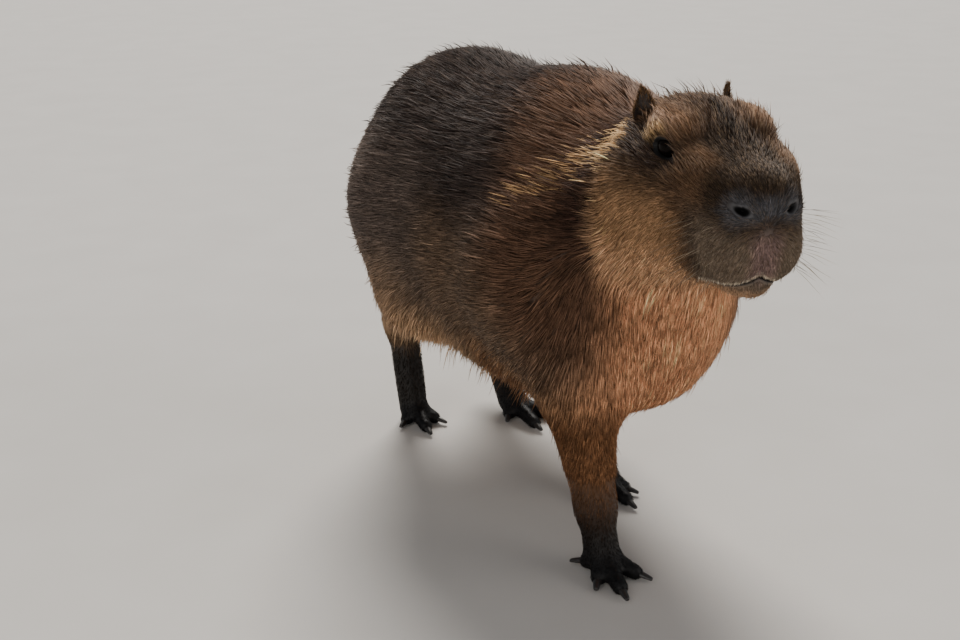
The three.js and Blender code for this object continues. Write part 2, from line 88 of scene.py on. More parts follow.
HEAD_PLACE = at(389, -39, 525)
HEAD_TURN = turn_z(-11) @ turn_x(-1)
SIDES = (-1, 1)
CLAW_LENGTH = 19.0
EYE_RADIUS = 15.0
EYE_PLACES = [at(2, side * 43, 5) for side in SIDES]
EYE_TURN = 28.0  # degrees that each eye looks ahead of straight sideways


def from_head(points):
    return np.atleast_2d(points) @ HEAD_TURN.T + HEAD_PLACE


def to_head(points):
    return (points - HEAD_PLACE) @ HEAD_TURN


def in_head(forward, left, up):
    """A place given in the head's axes, in the animal's."""
    return from_head(at(forward, left, up))[0]


def smoothstep(value, low, high):
    """Rises softly from 0 at low to 1 at high."""
    t = np.clip((value - low) / (high - low), 0, 1)
    return t * t * (3 - 2 * t)


def lump(centre, size, on_head=False):
    """The distance from points to an ellipsoid, p in the animal's axes and q in the head's."""
    length, width, height = size
    scale = np.array([width, length, height], float)

    def distance(p, q):
        a = ((q if on_head else p) - centre) / scale
        near = np.sqrt((a * a).sum(1))
        b = a / scale
        far = np.sqrt((b * b).sum(1))
        return near * (near - 1) / np.maximum(far, 1e-9)

    return distance


def block(centre, size, rounding):
    """The distance to a rounded block of the head."""
    length, width, height = size
    half = np.array([width, length, height], float) - rounding

    def distance(p, q):
        a = np.abs(q - centre) - half
        outside = np.sqrt((np.maximum(a, 0) ** 2).sum(1))
        return outside + np.minimum(a.max(1), 0) - rounding

    return distance


def bone(start, start_radius, end, end_radius, on_head=False):
    """The distance to a tapered bar with round ends."""
    if on_head:
        start, end = from_head(start)[0], from_head(end)[0]
    line = end - start
    length2 = line @ line
    taper = start_radius - end_radius
    slant2 = length2 - taper * taper

    def distance(p, q):
        v = p - start
        along = v @ line
        past = along - length2
        across = v * length2 - along[:, None] * line
        across2 = (across * across).sum(1)
        along2 = along * along * length2
        past2 = past * past * length2
        border = np.sign(taper) * taper * taper * across2
        body = (np.sqrt(across2 * slant2 / length2) + along * taper) / length2 - start_radius
        at_end = np.sqrt(across2 + past2) / length2 - end_radius
        at_start = np.sqrt(across2 + along2) / length2 - start_radius
        before = np.sign(along) * slant2 * along2 < border
        beyond = np.sign(past) * slant2 * past2 > border
        return np.where(beyond, at_end, np.where(before, at_start, body))

    return distance


# Each mass has the width over which it blends with the ones before it
TRUNK = [
    (1, lump(at(-228, 0, 350), (176, 156, 190))),  # rump
    (90, lump(at(-50, 0, 332), (250, 172, 196))),  # barrel
    (90, lump(at(120, 0, 338), (160, 138, 178))),  # ribs
    (60, lump(at(60, 10, 452), (150, 100, 92))),  # withers
    (60, lump(at(210, 0, 292), (98, 104, 118))),  # breast
    (70, bone(at(190, -6, 380), 108, at(304, -30, 468), 80)),  # nape
    (50, bone(at(240, -6, 330), 88, at(330, -34, 446), 70)),  # throat
]
HEAD = [
    (30, lump(at(-46, 0, -10), (76, 60, 48), True)),  # back of the skull
    (36, bone(at(-16, 0, -4), 42, at(84, 0, -36), 38, True)),  # forehead and bridge
    (30, block(at(58, 0, -56), (64, 46, 48), 34)),  # blunt muzzle
    (24, lump(at(28, 0, -98), (80, 42, 30), True)),  # jaw
    (12, lump(at(88, 0, -110), (28, 22, 15), True)),  # chin
]
for side in SIDES:
    HEAD.append((36, lump(at(-22, side * 34, -62), (72, 36, 54), True)))  # cheek
    HEAD.append((14, lump(at(97, side * 21, -76), (28, 25, 29), True)))  # upper lip
    HEAD.append((16, lump(at(-2, side * 38, 18), (36, 20, 20), True)))  # brow
    HEAD.append((20, lump(at(44, side * 36, -14), (48, 22, 24), True)))  # cheekbone
LID_HEIGHT = 1.8  # how far the lids stand over the eyeball, before the depth of the coat
LIDS = [(9, lump(place, [EYE_RADIUS + LID_HEIGHT] * 3, True)) for place in EYE_PLACES]

TOE_HEIGHT = 8.0
TOE_ROOT_RADIUS = 13.0
TOE_RADIUS = 9.5
# The joints are hip or shoulder, knee or elbow, and hock or wrist, each with its radius
LEGS = {
    "foreleg_right": {
        "joints": [(at(150, -92, 330), 90), (at(234, -90, 222), 46), (at(262, -80, 76), 23)],
        "palm": (at(280, -80, 21), 22),
        "claws": [at(253, -105, 0), at(320, -112, 0), at(354, -92, 0), at(330, -44, 0)],
    },
    "foreleg_left": {
        "joints": [(at(130, 92, 330), 90), (at(86, 74, 222), 46), (at(78, 32, 76), 23)],
        "palm": (at(100, 30, 21), 22),
        "claws": [at(78, 64, 0), at(140, 61, 0), at(174, 36, 0), at(148, -8, 0)],
    },
    "hindleg_right": {
        "joints": [(at(-220, -78, 330), 100), (at(-160, -108, 235), 62), (at(-256, -102, 146), 27)],
        "palm": (at(-222, -101, 20), 21),
        "claws": [at(-192, -134, 0), at(-150, -106, 0), at(-176, -70, 0)],
    },
    "hindleg_left": {
        "joints": [(at(-220, 78, 330), 100), (at(-150, 90, 220), 62), (at(-276, 56, 104), 27)],
        "palm": (at(-178, 42, 20), 21),
        "claws": [at(-118, 84, 0), at(-90, 44, 0), at(-140, 15, 0)],
    },
}
LIMBS = []
for leg in LEGS.values():
    leg["toes"] = []
    for tip in leg["claws"]:
        back = (leg["palm"][0] - tip) * (1, 1, 0)
        toe = tip + back / np.linalg.norm(back) * CLAW_LENGTH
        toe[2] = TOE_HEIGHT
        leg["toes"].append(toe)
    joints = leg["joints"]
    LIMBS.append((60, bone(*joints[0], *joints[1])))
    LIMBS.append((26, bone(*joints[1], *joints[2])))
    wrist, wrist_radius = joints[2]
    LIMBS.append((20, bone(wrist, wrist_radius - 4, *leg["palm"])))
    for toe in leg["toes"]:
        LIMBS.append((9, bone(leg["palm"][0], TOE_ROOT_RADIUS, toe, TOE_RADIUS)))
FLESH = TRUNK + HEAD + LIMBS + LIDS


BODY_COAT = 5.5  # how deep the skin lies under the coat on the body, the face and the lower legs
FACE_COAT = 1.2
LEG_COAT = 0.8
EYE_HOLLOW = at(21, 55, 0)  # the dip of the face in front of each eye
HOLLOW_DEPTH = 4.5
HOLLOW_RADIUS = 11.0


def coat_depth(p, q):
    """How far the skin lies under the coat's outer surface."""
    face = smoothstep(-q[:, 1], -70, 10) * smoothstep(q[:, 2], -165, -130)
    low = 1 - smoothstep(p[:, 2], 60, 230)
    from_hollow = np.stack([np.abs(q[:, 0]), q[:, 1], q[:, 2]], 1) - EYE_HOLLOW
    hollow = HOLLOW_DEPTH * np.exp(-((from_hollow / HOLLOW_RADIUS) ** 2).sum(1))
    return BODY_COAT * (1 - face) * (1 - low) + FACE_COAT * face + LEG_COAT * low + hollow


def flesh_distance(p):
    """The distance to the skin, outside it above 0, from the masses blended one after another."""
    q = to_head(p)
    total = np.full(len(p), 1e6)
    for blend, distance in FLESH:
        d = distance(p, q)
        h = np.maximum(blend - np.abs(total - d), 0) / blend
        total = np.minimum(total, d) - h * h * blend / 4
    return total + coat_depth(p, q)


TETRA = np.array([[1, -1, -1], [-1, -1, 1], [-1, 1, -1], [1, 1, 1]], float)
CHUNK = 60000  # points measured at once
SLOPE_STEP = 0.6


def measure(points):
    """The signed distance to the skin and its slope at each point."""
    value = np.empty(len(points))
    slope = np.empty((len(points), 3))
    for start in range(0, len(points), CHUNK):
        p = points[start:start + CHUNK]
        samples = [flesh_distance(p + SLOPE_STEP * corner) for corner in TETRA]
        total = sum(sample[:, None] * corner for sample, corner in zip(samples, TETRA))
        value[start:start + CHUNK] = sum(samples) / 4
        slope[start:start + CHUNK] = total / (4 * SLOPE_STEP)
    return value, slope


def settle(points, steps=2, height=0.0):
    """The points moved onto the skin, or to a height over it, with the skin's normals there."""
    p = points.copy()
    for _ in range(steps):
        value, slope = measure(p)
        length2 = np.maximum((slope * slope).sum(1), 0.1)
        p -= ((value - height) / length2)[:, None] * slope
    return p, slope / np.sqrt(length2)[:, None]


SKIN_CELL = 5.5
SKIN_LOW = np.array([-225.0, -520.0, -8.0])
SKIN_HIGH = np.array([225.0, 430.0, 610.0])
LOWEST_SKIN = 0.4  # how far the soles clear the floor


def net(low, high, cell):
    """The skin as a net of quads, one vertex in each cell of a grid that it crosses.

    A coarse grid finds the cells near the skin, and only those are measured finely.
    """
    counts = np.ceil((high - low) / cell).astype(int) + 1
    coarse_step = 3
    coarse = [low[i] + np.arange(0, counts[i] + coarse_step, coarse_step) * cell for i in range(3)]
    grid = np.stack(np.meshgrid(*coarse, indexing="ij"), -1)
    rough = flesh_distance(grid.reshape(-1, 3)).reshape(grid.shape[:3])
    near = np.repeat(np.repeat(np.repeat(rough, coarse_step, 0), coarse_step, 1), coarse_step, 2)
    near = near[:counts[0], :counts[1], :counts[2]]
    sample = near.copy()
    margin = 1.9 * coarse_step * cell  # no skin passes through cells further off than this
    close = np.abs(near) < margin
    index = np.argwhere(close)
    points = low + index * cell
    values = np.concatenate([flesh_distance(points[i:i + CHUNK]) for i in range(0, len(points), CHUNK)])
    sample[close] = values
    under_floor = -(low[2] + np.arange(counts[2]) * cell)
    sample = np.maximum(sample, under_floor[None, None, :])
    inside = sample < 0
    corners = [inside[i:counts[0] - 1 + i, j:counts[1] - 1 + j, k:counts[2] - 1 + k]
               for i in (0, 1) for j in (0, 1) for k in (0, 1)]
    filled = sum(c.astype(int) for c in corners)
    active = (filled > 0) & (filled < 8)
    number = np.full(active.shape, -1)
    number[active] = np.arange(active.sum())
    centres = low + (np.argwhere(active) + 0.5) * cell
    quads = []
    for axis in range(3):
        u, v = (axis + 1) % 3, (axis + 2) % 3
        here = np.moveaxis(inside, axis, 0)
        crossing = np.moveaxis(here[:-1] != here[1:], 0, axis)
        cells = np.argwhere(crossing)
        cells = cells[(cells[:, u] > 0) & (cells[:, v] > 0)]
        cells = cells[(cells[:, u] < active.shape[u]) & (cells[:, v] < active.shape[v])]
        step_u, step_v = np.eye(3, dtype=int)[u], np.eye(3, dtype=int)[v]
        ring = [cells - step_u - step_v, cells - step_v, cells, cells - step_u]
        quad = np.stack([number[tuple(c.T)] for c in ring], 1)
        outward = inside[tuple(cells.T)]
        quad[~outward] = quad[~outward][:, ::-1]
        quads.append(quad)
    return centres, np.concatenate(quads)


def mesh_object(name, vertices, faces):
    """A mesh in metres in the frame's axes, from millimetres in the animal's own."""
    mesh = bpy.data.meshes.new(name)
    faces = np.asarray(faces)
    mesh.vertices.add(len(vertices))
    mesh.vertices.foreach_set("co", ((vertices + ORIGIN) * 0.001).astype(np.float32).ravel())
    mesh.loops.add(faces.size)
    mesh.loops.foreach_set("vertex_index", faces.astype(np.int32).ravel())
    mesh.polygons.add(len(faces))
    mesh.polygons.foreach_set("loop_start", np.arange(0, faces.size, faces.shape[1], dtype=np.int32))
    mesh.polygons.foreach_set("use_smooth", np.ones(len(faces), bool))
    mesh.update(calc_edges=True)
    obj = bpy.data.objects.new(name, mesh)
    bpy.context.collection.objects.link(obj)
    return obj


def eye_axes(side):
    """The eyeball's centre, its outward axis, and the forward and upward tangents of its front."""
    turn = HEAD_TURN @ turn_z(-side * EYE_TURN)
    outward = turn @ at(0, side, 0)
    forward = turn @ at(1, 0, 0)
    return from_head(EYE_PLACES[SIDES.index(side)])[0], outward, forward, turn @ at(0, 0, 1)


# The frame's origin, found from the right eyeball, whose place in the animal's axes is known
eye_low, eye_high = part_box("eye_right")
ORIGIN = 1000 * (np.array(eye_low) + np.array(eye_high)) / 2 - eye_axes(-1)[0]


MARCH_STEPS = 60
MARCH_PACE = 0.7  # the share of the distance to the skin that each step takes


def march(starts, targets):
    """The points where lines from inside the head, given in its own axes, meet the skin."""
    p = from_head(np.array([at(*start) for start in starts]))
    direction = from_head(np.array([at(*target) for target in targets])) - p
    direction /= np.linalg.norm(direction, axis=1)[:, None]
    for _ in range(MARCH_STEPS):
        p = p - MARCH_PACE * flesh_distance(p)[:, None] * direction
    return p


MOUTH_CENTRE = 66.0  # how far ahead of the head's origin the muzzle's roundness has its middle
MOUTH_POINTS = 33
MOUTH_HALF_TURN = 1.25  # radians from the middle of the mouth to its corner
MOUTH_HEIGHT = -101.0
MOUTH_DROP = 24.0
LIP_PEAK = 2.4


def lip_targets():
    """Places far out along the mouth, from its right corner over the peak to its left corner."""
    targets = []
    for i in np.linspace(-1, 1, MOUTH_POINTS):
        turn = i * MOUTH_HALF_TURN
        up = MOUTH_HEIGHT - MOUTH_DROP * abs(i) ** 1.2 + LIP_PEAK * math.exp(-(i / 0.1) ** 2)
        targets.append((MOUTH_CENTRE + 50 * math.cos(turn), 50 * math.sin(turn), up))
    return targets


def near_line(p, line):
    """The distance of each point to a line of points, and how far along it the nearest lies, 0 to 1."""
    best = np.full(len(p), 1e6)
    along = np.zeros(len(p))
    for i in range(len(line) - 1):
        a, b = line[i], line[i + 1]
        t = np.clip((p - a) @ (b - a) / ((b - a) @ (b - a)), 0, 1)
        d = np.linalg.norm(p - a - t[:, None] * (b - a), axis=1)
        along = np.where(d < best, (i + t) / (len(line) - 1), along)
        best = np.minimum(best, d)
    return best, along


def mouth_turn(q):
    """Which way along the mouth points lie, in radians from its middle."""
    return np.arctan2(q[:, 0], -q[:, 1] - MOUTH_CENTRE)


MOUTH = march([(MOUTH_CENTRE, 0, -92)] * MOUTH_POINTS, lip_targets())


def mouth_height(p):
    """The height of the line of the mouth straight under or over each point, in the head's axes."""
    mouth = to_head(MOUTH)
    return np.interp(mouth_turn(to_head(p)), mouth_turn(mouth), mouth[:, 2])


PHILTRUM = march([(MOUTH_CENTRE, 0, -70)] * 9, [(150, 0, up) for up in np.linspace(-56, -104, 9)])
NOSTRIL_HALF_LENGTH = 8.0
NOSTRILS = march([(70, side * 16, -40) for side in SIDES], [(124, side * 26, -34) for side in SIDES])


def nostril_shape(p, side):
    """Below 1 inside the comma-shaped nostril: a round pit in front, drawn out upwards and back."""
    q = to_head(p) - to_head(NOSTRILS[SIDES.index(side)][None])
    forward, left, up = -q[:, 1], side * q[:, 0], q[:, 2]
    along = -0.55 * forward + 0.83 * left
    bent = up - 0.02 * along * along - 0.25 * along
    wide = np.where(bent > 0, 4.6, 4.2) * np.where(along > 0, 0.85, 1)
    behind = np.minimum(forward + 16, 0) / 6
    return np.sqrt((along / NOSTRIL_HALF_LENGTH) ** 2 + (bent / wide) ** 2 + behind ** 2)


LID_SHIFT = 2.5  # how far the eye's opening lies ahead of the eyeball's middle
LID_TILT = 0.06  # how steeply it runs down towards the nose
LID_HALF_LENGTH = 14.4
LID_HALF_HEIGHT = 8.2


def lid_gap(p, side):
    """How far inside the almond of the open eye a point lies, in millimetres, and its tangents there."""
    centre, outward, forward, up = eye_axes(side)
    v = p - centre
    front = v @ outward
    u, w = v @ forward, v @ up
    u = u - LID_SHIFT
    w = w + LID_TILT * u
    past_end = np.abs(u) - LID_HALF_LENGTH
    half = LID_HALF_HEIGHT * np.sqrt(np.maximum(1 - (np.abs(u) / LID_HALF_LENGTH) ** 2.3, 0))
    gap = np.where(past_end < 0, half - np.abs(w), -np.hypot(past_end, w))
    return np.where(front > 3, gap, -30), u, w


CORNER_HALF_HEIGHT = 6.4
CORNER_LENGTH = 20.0


def eye_corner(u, w):
    """How far inside the bare dark corner of the eye, towards the nose, a point of the lids lies."""
    past = np.maximum(u - 8, 0)
    inside = CORNER_HALF_HEIGHT - 0.3 * past - np.hypot(np.maximum(u - CORNER_LENGTH, 0), w + 0.1 * past)
    return np.where(u > 0, inside, -30)


MOUTH_DEPTH = 3.6
NOSTRIL_DEPTH = 9.0
EYE_DEPTH = 6.5


def face_relief(p):
    """How deep the fine forms of the face lie under the smooth skin, negative where raised."""
    depth = np.zeros(len(p))
    to_mouth, along = near_line(p, MOUTH)
    ends = smoothstep(along, 0, 0.08) * smoothstep(1 - along, 0, 0.08)
    lips = 1.1 * np.exp(-((to_mouth - 4.2) / 2.2) ** 2)
    depth += ends * (MOUTH_DEPTH * np.exp(-(to_mouth / 1.5) ** 2) - lips)
    to_philtrum, _ = near_line(p, PHILTRUM)
    low = smoothstep(-to_head(p)[:, 2], 62, 96)
    depth += (0.5 + 1.3 * low) * np.exp(-(to_philtrum / 1.6) ** 2)
    depth -= 0.4 * np.exp(-((to_philtrum - 4) / 2.4) ** 2)
    for side in SIDES:
        shape = nostril_shape(p, side)
        depth += NOSTRIL_DEPTH * (1 - smoothstep(shape, 0.1, 1.1))
        depth -= 0.8 * np.exp(-((shape - 1.35) / 0.3) ** 2)
        gap, u, w = lid_gap(p, side)
        depth += EYE_DEPTH * smoothstep(gap, -0.7, 0.5)
        depth -= 0.9 * np.exp(-((gap + 1.6) / 1.1) ** 2)
        fold = np.exp(-((gap + 5.2) / 1.3) ** 2)
        depth += 1.3 * fold * smoothstep(w, -2, 6)
        depth += 0.8 * fold * smoothstep(-w, 2, 8)
        depth += 0.5 * np.exp(-((gap + 9) / 1.4) ** 2) * smoothstep(-u, -2, 8)
    return depth


def near_feature(p, reach):
    """Where the face carries its finest forms: the eyes, the nostrils and the mouth."""
    close = near_line(p, MOUTH)[0] < reach * 0.6
    close |= near_line(p, PHILTRUM)[0] < reach * 0.6
    for side in SIDES:
        close |= np.linalg.norm(p - NOSTRILS[SIDES.index(side)], axis=1) < reach
        centre, outward, _, _ = eye_axes(side)
        close |= np.linalg.norm(p - centre - outward * EYE_RADIUS, axis=1) < reach * 1.35
    return close


def refine(obj, choose):
    """Halves the edges of the chosen part of the mesh."""
    mesh = bmesh.new()
    mesh.from_mesh(obj.data)
    mesh.verts.ensure_lookup_table()
    co = np.array([v.co for v in mesh.verts]) * 1000 - ORIGIN
    chosen = choose(co)
    edges = [e for e in mesh.edges if chosen[e.verts[0].index] and chosen[e.verts[1].index]]
    bmesh.ops.subdivide_edges(mesh, edges=edges, cuts=1, use_grid_fill=True)
    mesh.to_mesh(obj.data)
    mesh.free()


centres, quads = net(SKIN_LOW, SKIN_HIGH, SKIN_CELL)
settled, _ = settle(centres, 3)
settled[:, 2] = np.maximum(settled[:, 2], LOWEST_SKIN)
skin = mesh_object("skin", settled, quads)
refine(skin, lambda p: (to_head(p)[:, 1] < 85) & (to_head(p)[:, 2] > -150) & (p[:, 1] < -290))
refine(skin, lambda p: near_feature(p, 24))
refine(skin, lambda p: near_feature(p, 17))


def coordinates(obj):
    co = np.empty(3 * len(obj.data.vertices), np.float32)
    obj.data.vertices.foreach_get("co", co)
    return co.reshape(-1, 3).astype(float) * 1000 - ORIGIN


def set_coordinates(obj, points):
    obj.data.vertices.foreach_set("co", ((points + ORIGIN) * 0.001).astype(np.float32).ravel())
    obj.data.update()


base = coordinates(skin)
base, normals = settle(base, 2)
base[:, 2] = np.maximum(base[:, 2], LOWEST_SKIN)
on_face = (to_head(base)[:, 1] < 60) & (to_head(base)[:, 2] > -150) & (base[:, 1] < -330)
relief = np.zeros(len(base))
relief[on_face] = face_relief(base[on_face])
set_coordinates(skin, base - relief[:, None] * normals)
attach(skin, "root")
FLESH_NODES = ["torso", "neck", "head"] + list(LEGS) + [name.replace("leg", "foot") for name in LEGS]
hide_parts(*FLESH_NODES)


# Coat colours
# Brown hair, darkest on the back, partly its own colour and partly painted shade on the upper flank,
# greyer on the rump, with pale streaks of painted highlight behind the ears, tan on the chest and belly
# and pale low on the face, partly their own colour and partly painted light bounced from the floor,
# a lower thigh made paler with painted light, slate around the nose and nearly black on the feet,
# and painted shade in the nostrils and the crease of the mouth.
# Skin and hair take them from the same places.
def linear(red, green, blue):
    c = np.array([red, green, blue]) / 255
    return np.where(c < 0.04045, c / 12.92, ((c + 0.055) / 1.055) ** 2.4)


FLANK = linear(117, 96, 78)
RUMP = linear(106, 93, 85)
BACK_AND_SHADE = linear(60, 50, 46)
SHOULDER = linear(106, 79, 62)
NAPE = linear(66, 46, 37)
GOLD = linear(226, 190, 138)
HIGHLIGHT_STREAK = linear(186, 148, 106)
EAR_HIGHLIGHT_STREAK = linear(216, 180, 134)
CHEST_AND_BOUNCE = linear(238, 178, 136)
BELLY_AND_BOUNCE = linear(214, 176, 138)
LIT_THIGH = linear(160, 132, 106)
FORELEG = linear(138, 98, 68)
DARK_LEG = linear(32, 26, 22)
SOLE = linear(17, 16, 18)
CROWN = linear(56, 42, 34)
STRIPE = linear(22, 15, 12)
BROW = linear(126, 96, 72)
CHEEK = linear(170, 134, 100)
LOW_CHEEK_AND_BOUNCE = linear(218, 174, 136)
BRIDGE = linear(64, 52, 42)
MUZZLE = linear(118, 104, 90)
NOSE = linear(84, 83, 86)
NOSTRIL_SHADE = linear(6, 5, 6)
RIM = linear(8, 7, 7)
PHILTRUM_SKIN = linear(134, 110, 108)
LIP = linear(246, 230, 206)
MOUTH_SHADE = linear(20, 15, 15)
CHIN = linear(176, 140, 108)


def wave(p, size, seed):
    """Soft noise from -1 to 1 with features of about the given size."""
    rng = np.random.default_rng(seed)
    total = np.zeros(len(p))
    for _ in range(6):
        direction = rng.normal(size=3)
        direction /= np.linalg.norm(direction)
        total += np.sin(p @ direction * (2 * math.pi / size) * rng.uniform(0.7, 1.5) + rng.uniform(0, 6.3))
    return total / 6


def mix(colour, other, amount):
    return colour + (other - colour) * amount[:, None]


def markings(p):
    """The coat's colour at points of the skin, in linear light, painted light and shade included."""
    q = to_head(p)
    forward, left, up = -q[:, 1], q[:, 0], q[:, 2]
    f, z = -p[:, 1], p[:, 2]
    drift = 16 * wave(p, 130, 3)
    colour = np.tile(FLANK, (len(p), 1))
    # The darker back and upper flank: partly the coat's own colour, partly painted shade on the upper
    # flank.
    colour = mix(colour, BACK_AND_SHADE, smoothstep(z + drift, 335, 425))
    colour = mix(colour, RUMP, smoothstep(-f + drift, -30, 110) * (1 - smoothstep(z + drift, 400, 470)))
    # Painted light: the lower thigh is made paler, standing in for light bounced from the floor and rim
    # light.
    thigh = smoothstep(-f + drift, 20, 130) * (1 - smoothstep(z + drift, 210, 330))
    colour = mix(colour, LIT_THIGH, thigh)
    shoulder = smoothstep(f + drift + 0.5 * (z - 420), 90, 200)
    colour = mix(colour, SHOULDER, shoulder * (0.5 + 0.5 * smoothstep(z, 250, 330)))
    colour = mix(colour, NAPE, smoothstep(f + drift, 215, 265) * smoothstep(z + drift, 365, 425))
    # Paler belly: partly the coat's own lighter underside, partly painted light bounced from the floor.
    belly = (1 - smoothstep(z + drift, 165, 262)) * smoothstep(z, 110, 140)
    colour = mix(colour, BELLY_AND_BOUNCE, belly * (1 - 0.85 * smoothstep(-f + drift, 110, 165)))
    # Tan chest: partly the coat's own colour, partly painted light bounced from the floor onto the low
    # chest.
    ahead = f - 0.6 * np.abs(p[:, 0] + 20)
    front = smoothstep(ahead + 0.8 * drift - 0.4 * (z - 280), 185, 285)
    colour = mix(colour, CHEST_AND_BOUNCE, front * (1 - smoothstep(z + drift, 390, 470)))
    near_foreleg = smoothstep(f, 20, 60) * (1 - smoothstep(z + drift, 185, 265))
    between_legs = smoothstep(z, 150, 190) * (1 - smoothstep(np.abs(p[:, 0] + 10), 30, 62))
    near_foreleg = near_foreleg * (1 - between_legs)
    colour = mix(colour, FORELEG, near_foreleg)
    haired = np.where(f > 0, smoothstep(z + 0.4 * drift, 40, 150), smoothstep(z + 0.6 * drift, 92, 168))
    colour = mix(colour, DARK_LEG, 1 - haired)
    colour = mix(colour, SOLE, 1 - smoothstep(z + 0.2 * drift, 18, 46))
    head = smoothstep(forward + 0.4 * drift, -95, -50) * smoothstep(up, -160, -125)
    face = np.tile(CROWN, (len(p), 1))
    brow = smoothstep(up + 0.4 * drift, 5, 24) * (1 - smoothstep(np.abs(forward), 40, 70))
    face = mix(face, BROW, brow * (0.35 + 0.65 * smoothstep(np.abs(left), 18, 42)))
    middle = np.exp(-(left / 15) ** 2) * smoothstep(forward, -25, 15) * (1 - smoothstep(forward, 50, 80))
    face = mix(face, STRIPE, 0.9 * middle * smoothstep(up, -30, 0))
    cheek = (1 - smoothstep(up + 0.5 * drift, -60, -8)) * (1 - smoothstep(forward, 30, 80))
    face = mix(face, CHEEK, cheek)
    # Pale lower face: partly its own lighter hair, partly painted light bounced from the floor.
    low_cheek = (1 - smoothstep(up + 0.5 * drift, -120, -70)) * (1 - smoothstep(forward, 20, 70))
    face = mix(face, LOW_CHEEK_AND_BOUNCE, low_cheek)
    bridge = smoothstep(forward + 0.4 * drift, 25, 84) * smoothstep(up, -60, -30)
    face = mix(face, BRIDGE, bridge)
    bridge_side = bridge * smoothstep(np.abs(left), 20, 36) * (1 - smoothstep(forward, 80, 104))
    face = mix(face, BROW, 0.7 * bridge_side)
    side_low = up - 0.5 * np.maximum(np.abs(left) - 24, 0)
    muzzle = smoothstep(forward + 0.4 * drift, 52, 92) * (1 - smoothstep(side_low, -70, -40))
    face = mix(face, MUZZLE, muzzle)
    around = np.min([np.linalg.norm(p - place, axis=1) for place in NOSTRILS], axis=0)
    between = np.maximum(np.abs(left) - 26, 0) + np.abs(up + 36) * 1.3
    around = np.minimum(around, between + 8 * (forward < 96))
    face = mix(face, NOSE, 1 - smoothstep(around + 0.25 * drift, 5, 21))
    to_philtrum = near_line(p, PHILTRUM)[0]
    under_nose = (1 - smoothstep(to_philtrum, 5, 19)) * (1 - smoothstep(up, -66, -46))
    face = mix(face, PHILTRUM_SKIN, 0.7 * under_nose)
    to_mouth = near_line(p, MOUTH)[0]
    face = mix(face, CHIN, smoothstep(-up, 106, 118) * smoothstep(forward, 10, 50))
    above = up - mouth_height(p)
    face = mix(face, LIP, 0.8 * np.exp(-((above - 4.2) / 2.4) ** 2) * (to_mouth < 14))
    # Painted shade in the crease of the mouth.
    face = mix(face, MOUTH_SHADE, 1 - smoothstep(to_mouth, 1.8, 4.2))
    for side in SIDES:
        gap, u, w = lid_gap(p, side)
        ring = np.exp(-((gap + 6.5) / 3.0) ** 2)
        face = mix(face, GOLD, ring * smoothstep(w - 0.4 * u, 0, 9) * 0.5)
        face = mix(face, RIM, smoothstep(gap, -3.6, -1.6))
        face = mix(face, RIM, smoothstep(eye_corner(u, w), -0.6, 1.0) * (gap > -20))
        # Painted shade: the nostrils' pits are made nearly black.
        face = mix(face, NOSTRIL_SHADE, 1 - smoothstep(nostril_shape(p, side), 0.75, 1.15))
    colour = colour + (face - colour) * head[:, None]
    shade = 1 + 0.10 * wave(p, 60, 5) + 0.06 * wave(p, 24, 7)
    return colour * shade[:, None]


def highlight_streaks(p):
    """How much pale hair, painted highlight, streaks the band from behind the ear back over the shoulder.
    """
    f, z = -p[:, 1], p[:, 2]
    away = np.abs(z - 440 - 0.63 * (f - 180))
    band = (1 - smoothstep(away, 0, 42)) * (1 - smoothstep(f, 312, 334))
    band = band * smoothstep(np.abs(p[:, 0] + 20), 30, 60)
    under = np.hypot((f - 318) / 34, (z - 448) / 30)
    streaks = band * (0.5 * smoothstep(f, 135, 190) + 0.22 * smoothstep(f, 236, 290))
    return np.maximum(streaks, 0.18 * (1 - smoothstep(under, 0.4, 1.3)))


def paint(obj, colours):
    """Stores a colour for each vertex under the name that the materials read."""
    data = obj.data.attributes.new("tint", "FLOAT_COLOR", "POINT")
    rgba = np.ones((len(colours), 4), np.float32)
    rgba[:, :3] = np.clip(colours, 0, 1)
    data.data.foreach_set("color", rgba.ravel())


def node_tree(name):
    """A new material with its tree of nodes and its shader."""
    material = bpy.data.materials.new(name)
    material.use_nodes = True
    tree = material.node_tree
    return material, tree, tree.nodes["Principled BSDF"]


def noise_node(tree, scale, detail=4.0):
    """Noise in the piece's own metres, with the given number of blotches in each."""
    place = tree.nodes.new("ShaderNodeTexCoord")
    noise = tree.nodes.new("ShaderNodeTexNoise")
    noise.inputs["Scale"].default_value = scale
    noise.inputs["Detail"].default_value = detail
    tree.links.new(place.outputs["Object"], noise.inputs["Vector"])
    return noise


def tinted(tree, shader, noise, low, high):
    """Colours the shader from the stored tint, lighter and darker with the noise."""
    tint = tree.nodes.new("ShaderNodeAttribute")
    tint.attribute_name = "tint"
    spread = tree.nodes.new("ShaderNodeMapRange")
    spread.inputs["From Min"].default_value = 0.3
    spread.inputs["From Max"].default_value = 0.7
    spread.inputs["To Min"].default_value = low
    spread.inputs["To Max"].default_value = high
    scale = tree.nodes.new("ShaderNodeVectorMath")
    scale.operation = "SCALE"
    tree.links.new(noise.outputs["Fac"], spread.inputs["Value"])
    tree.links.new(tint.outputs["Color"], scale.inputs[0])
    tree.links.new(spread.outputs["Result"], scale.inputs["Scale"])
    tree.links.new(scale.outputs["Vector"], shader.inputs["Base Color"])


def roughen(tree, shader, noise, strength, depth):
    """Raises and sinks the surface a little with the noise."""
    bump = tree.nodes.new("ShaderNodeBump")
    bump.inputs["Strength"].default_value = strength
    bump.inputs["Distance"].default_value = depth
    tree.links.new(noise.outputs["Fac"], bump.inputs["Height"])
    tree.links.new(bump.outputs["Normal"], shader.inputs["Normal"])


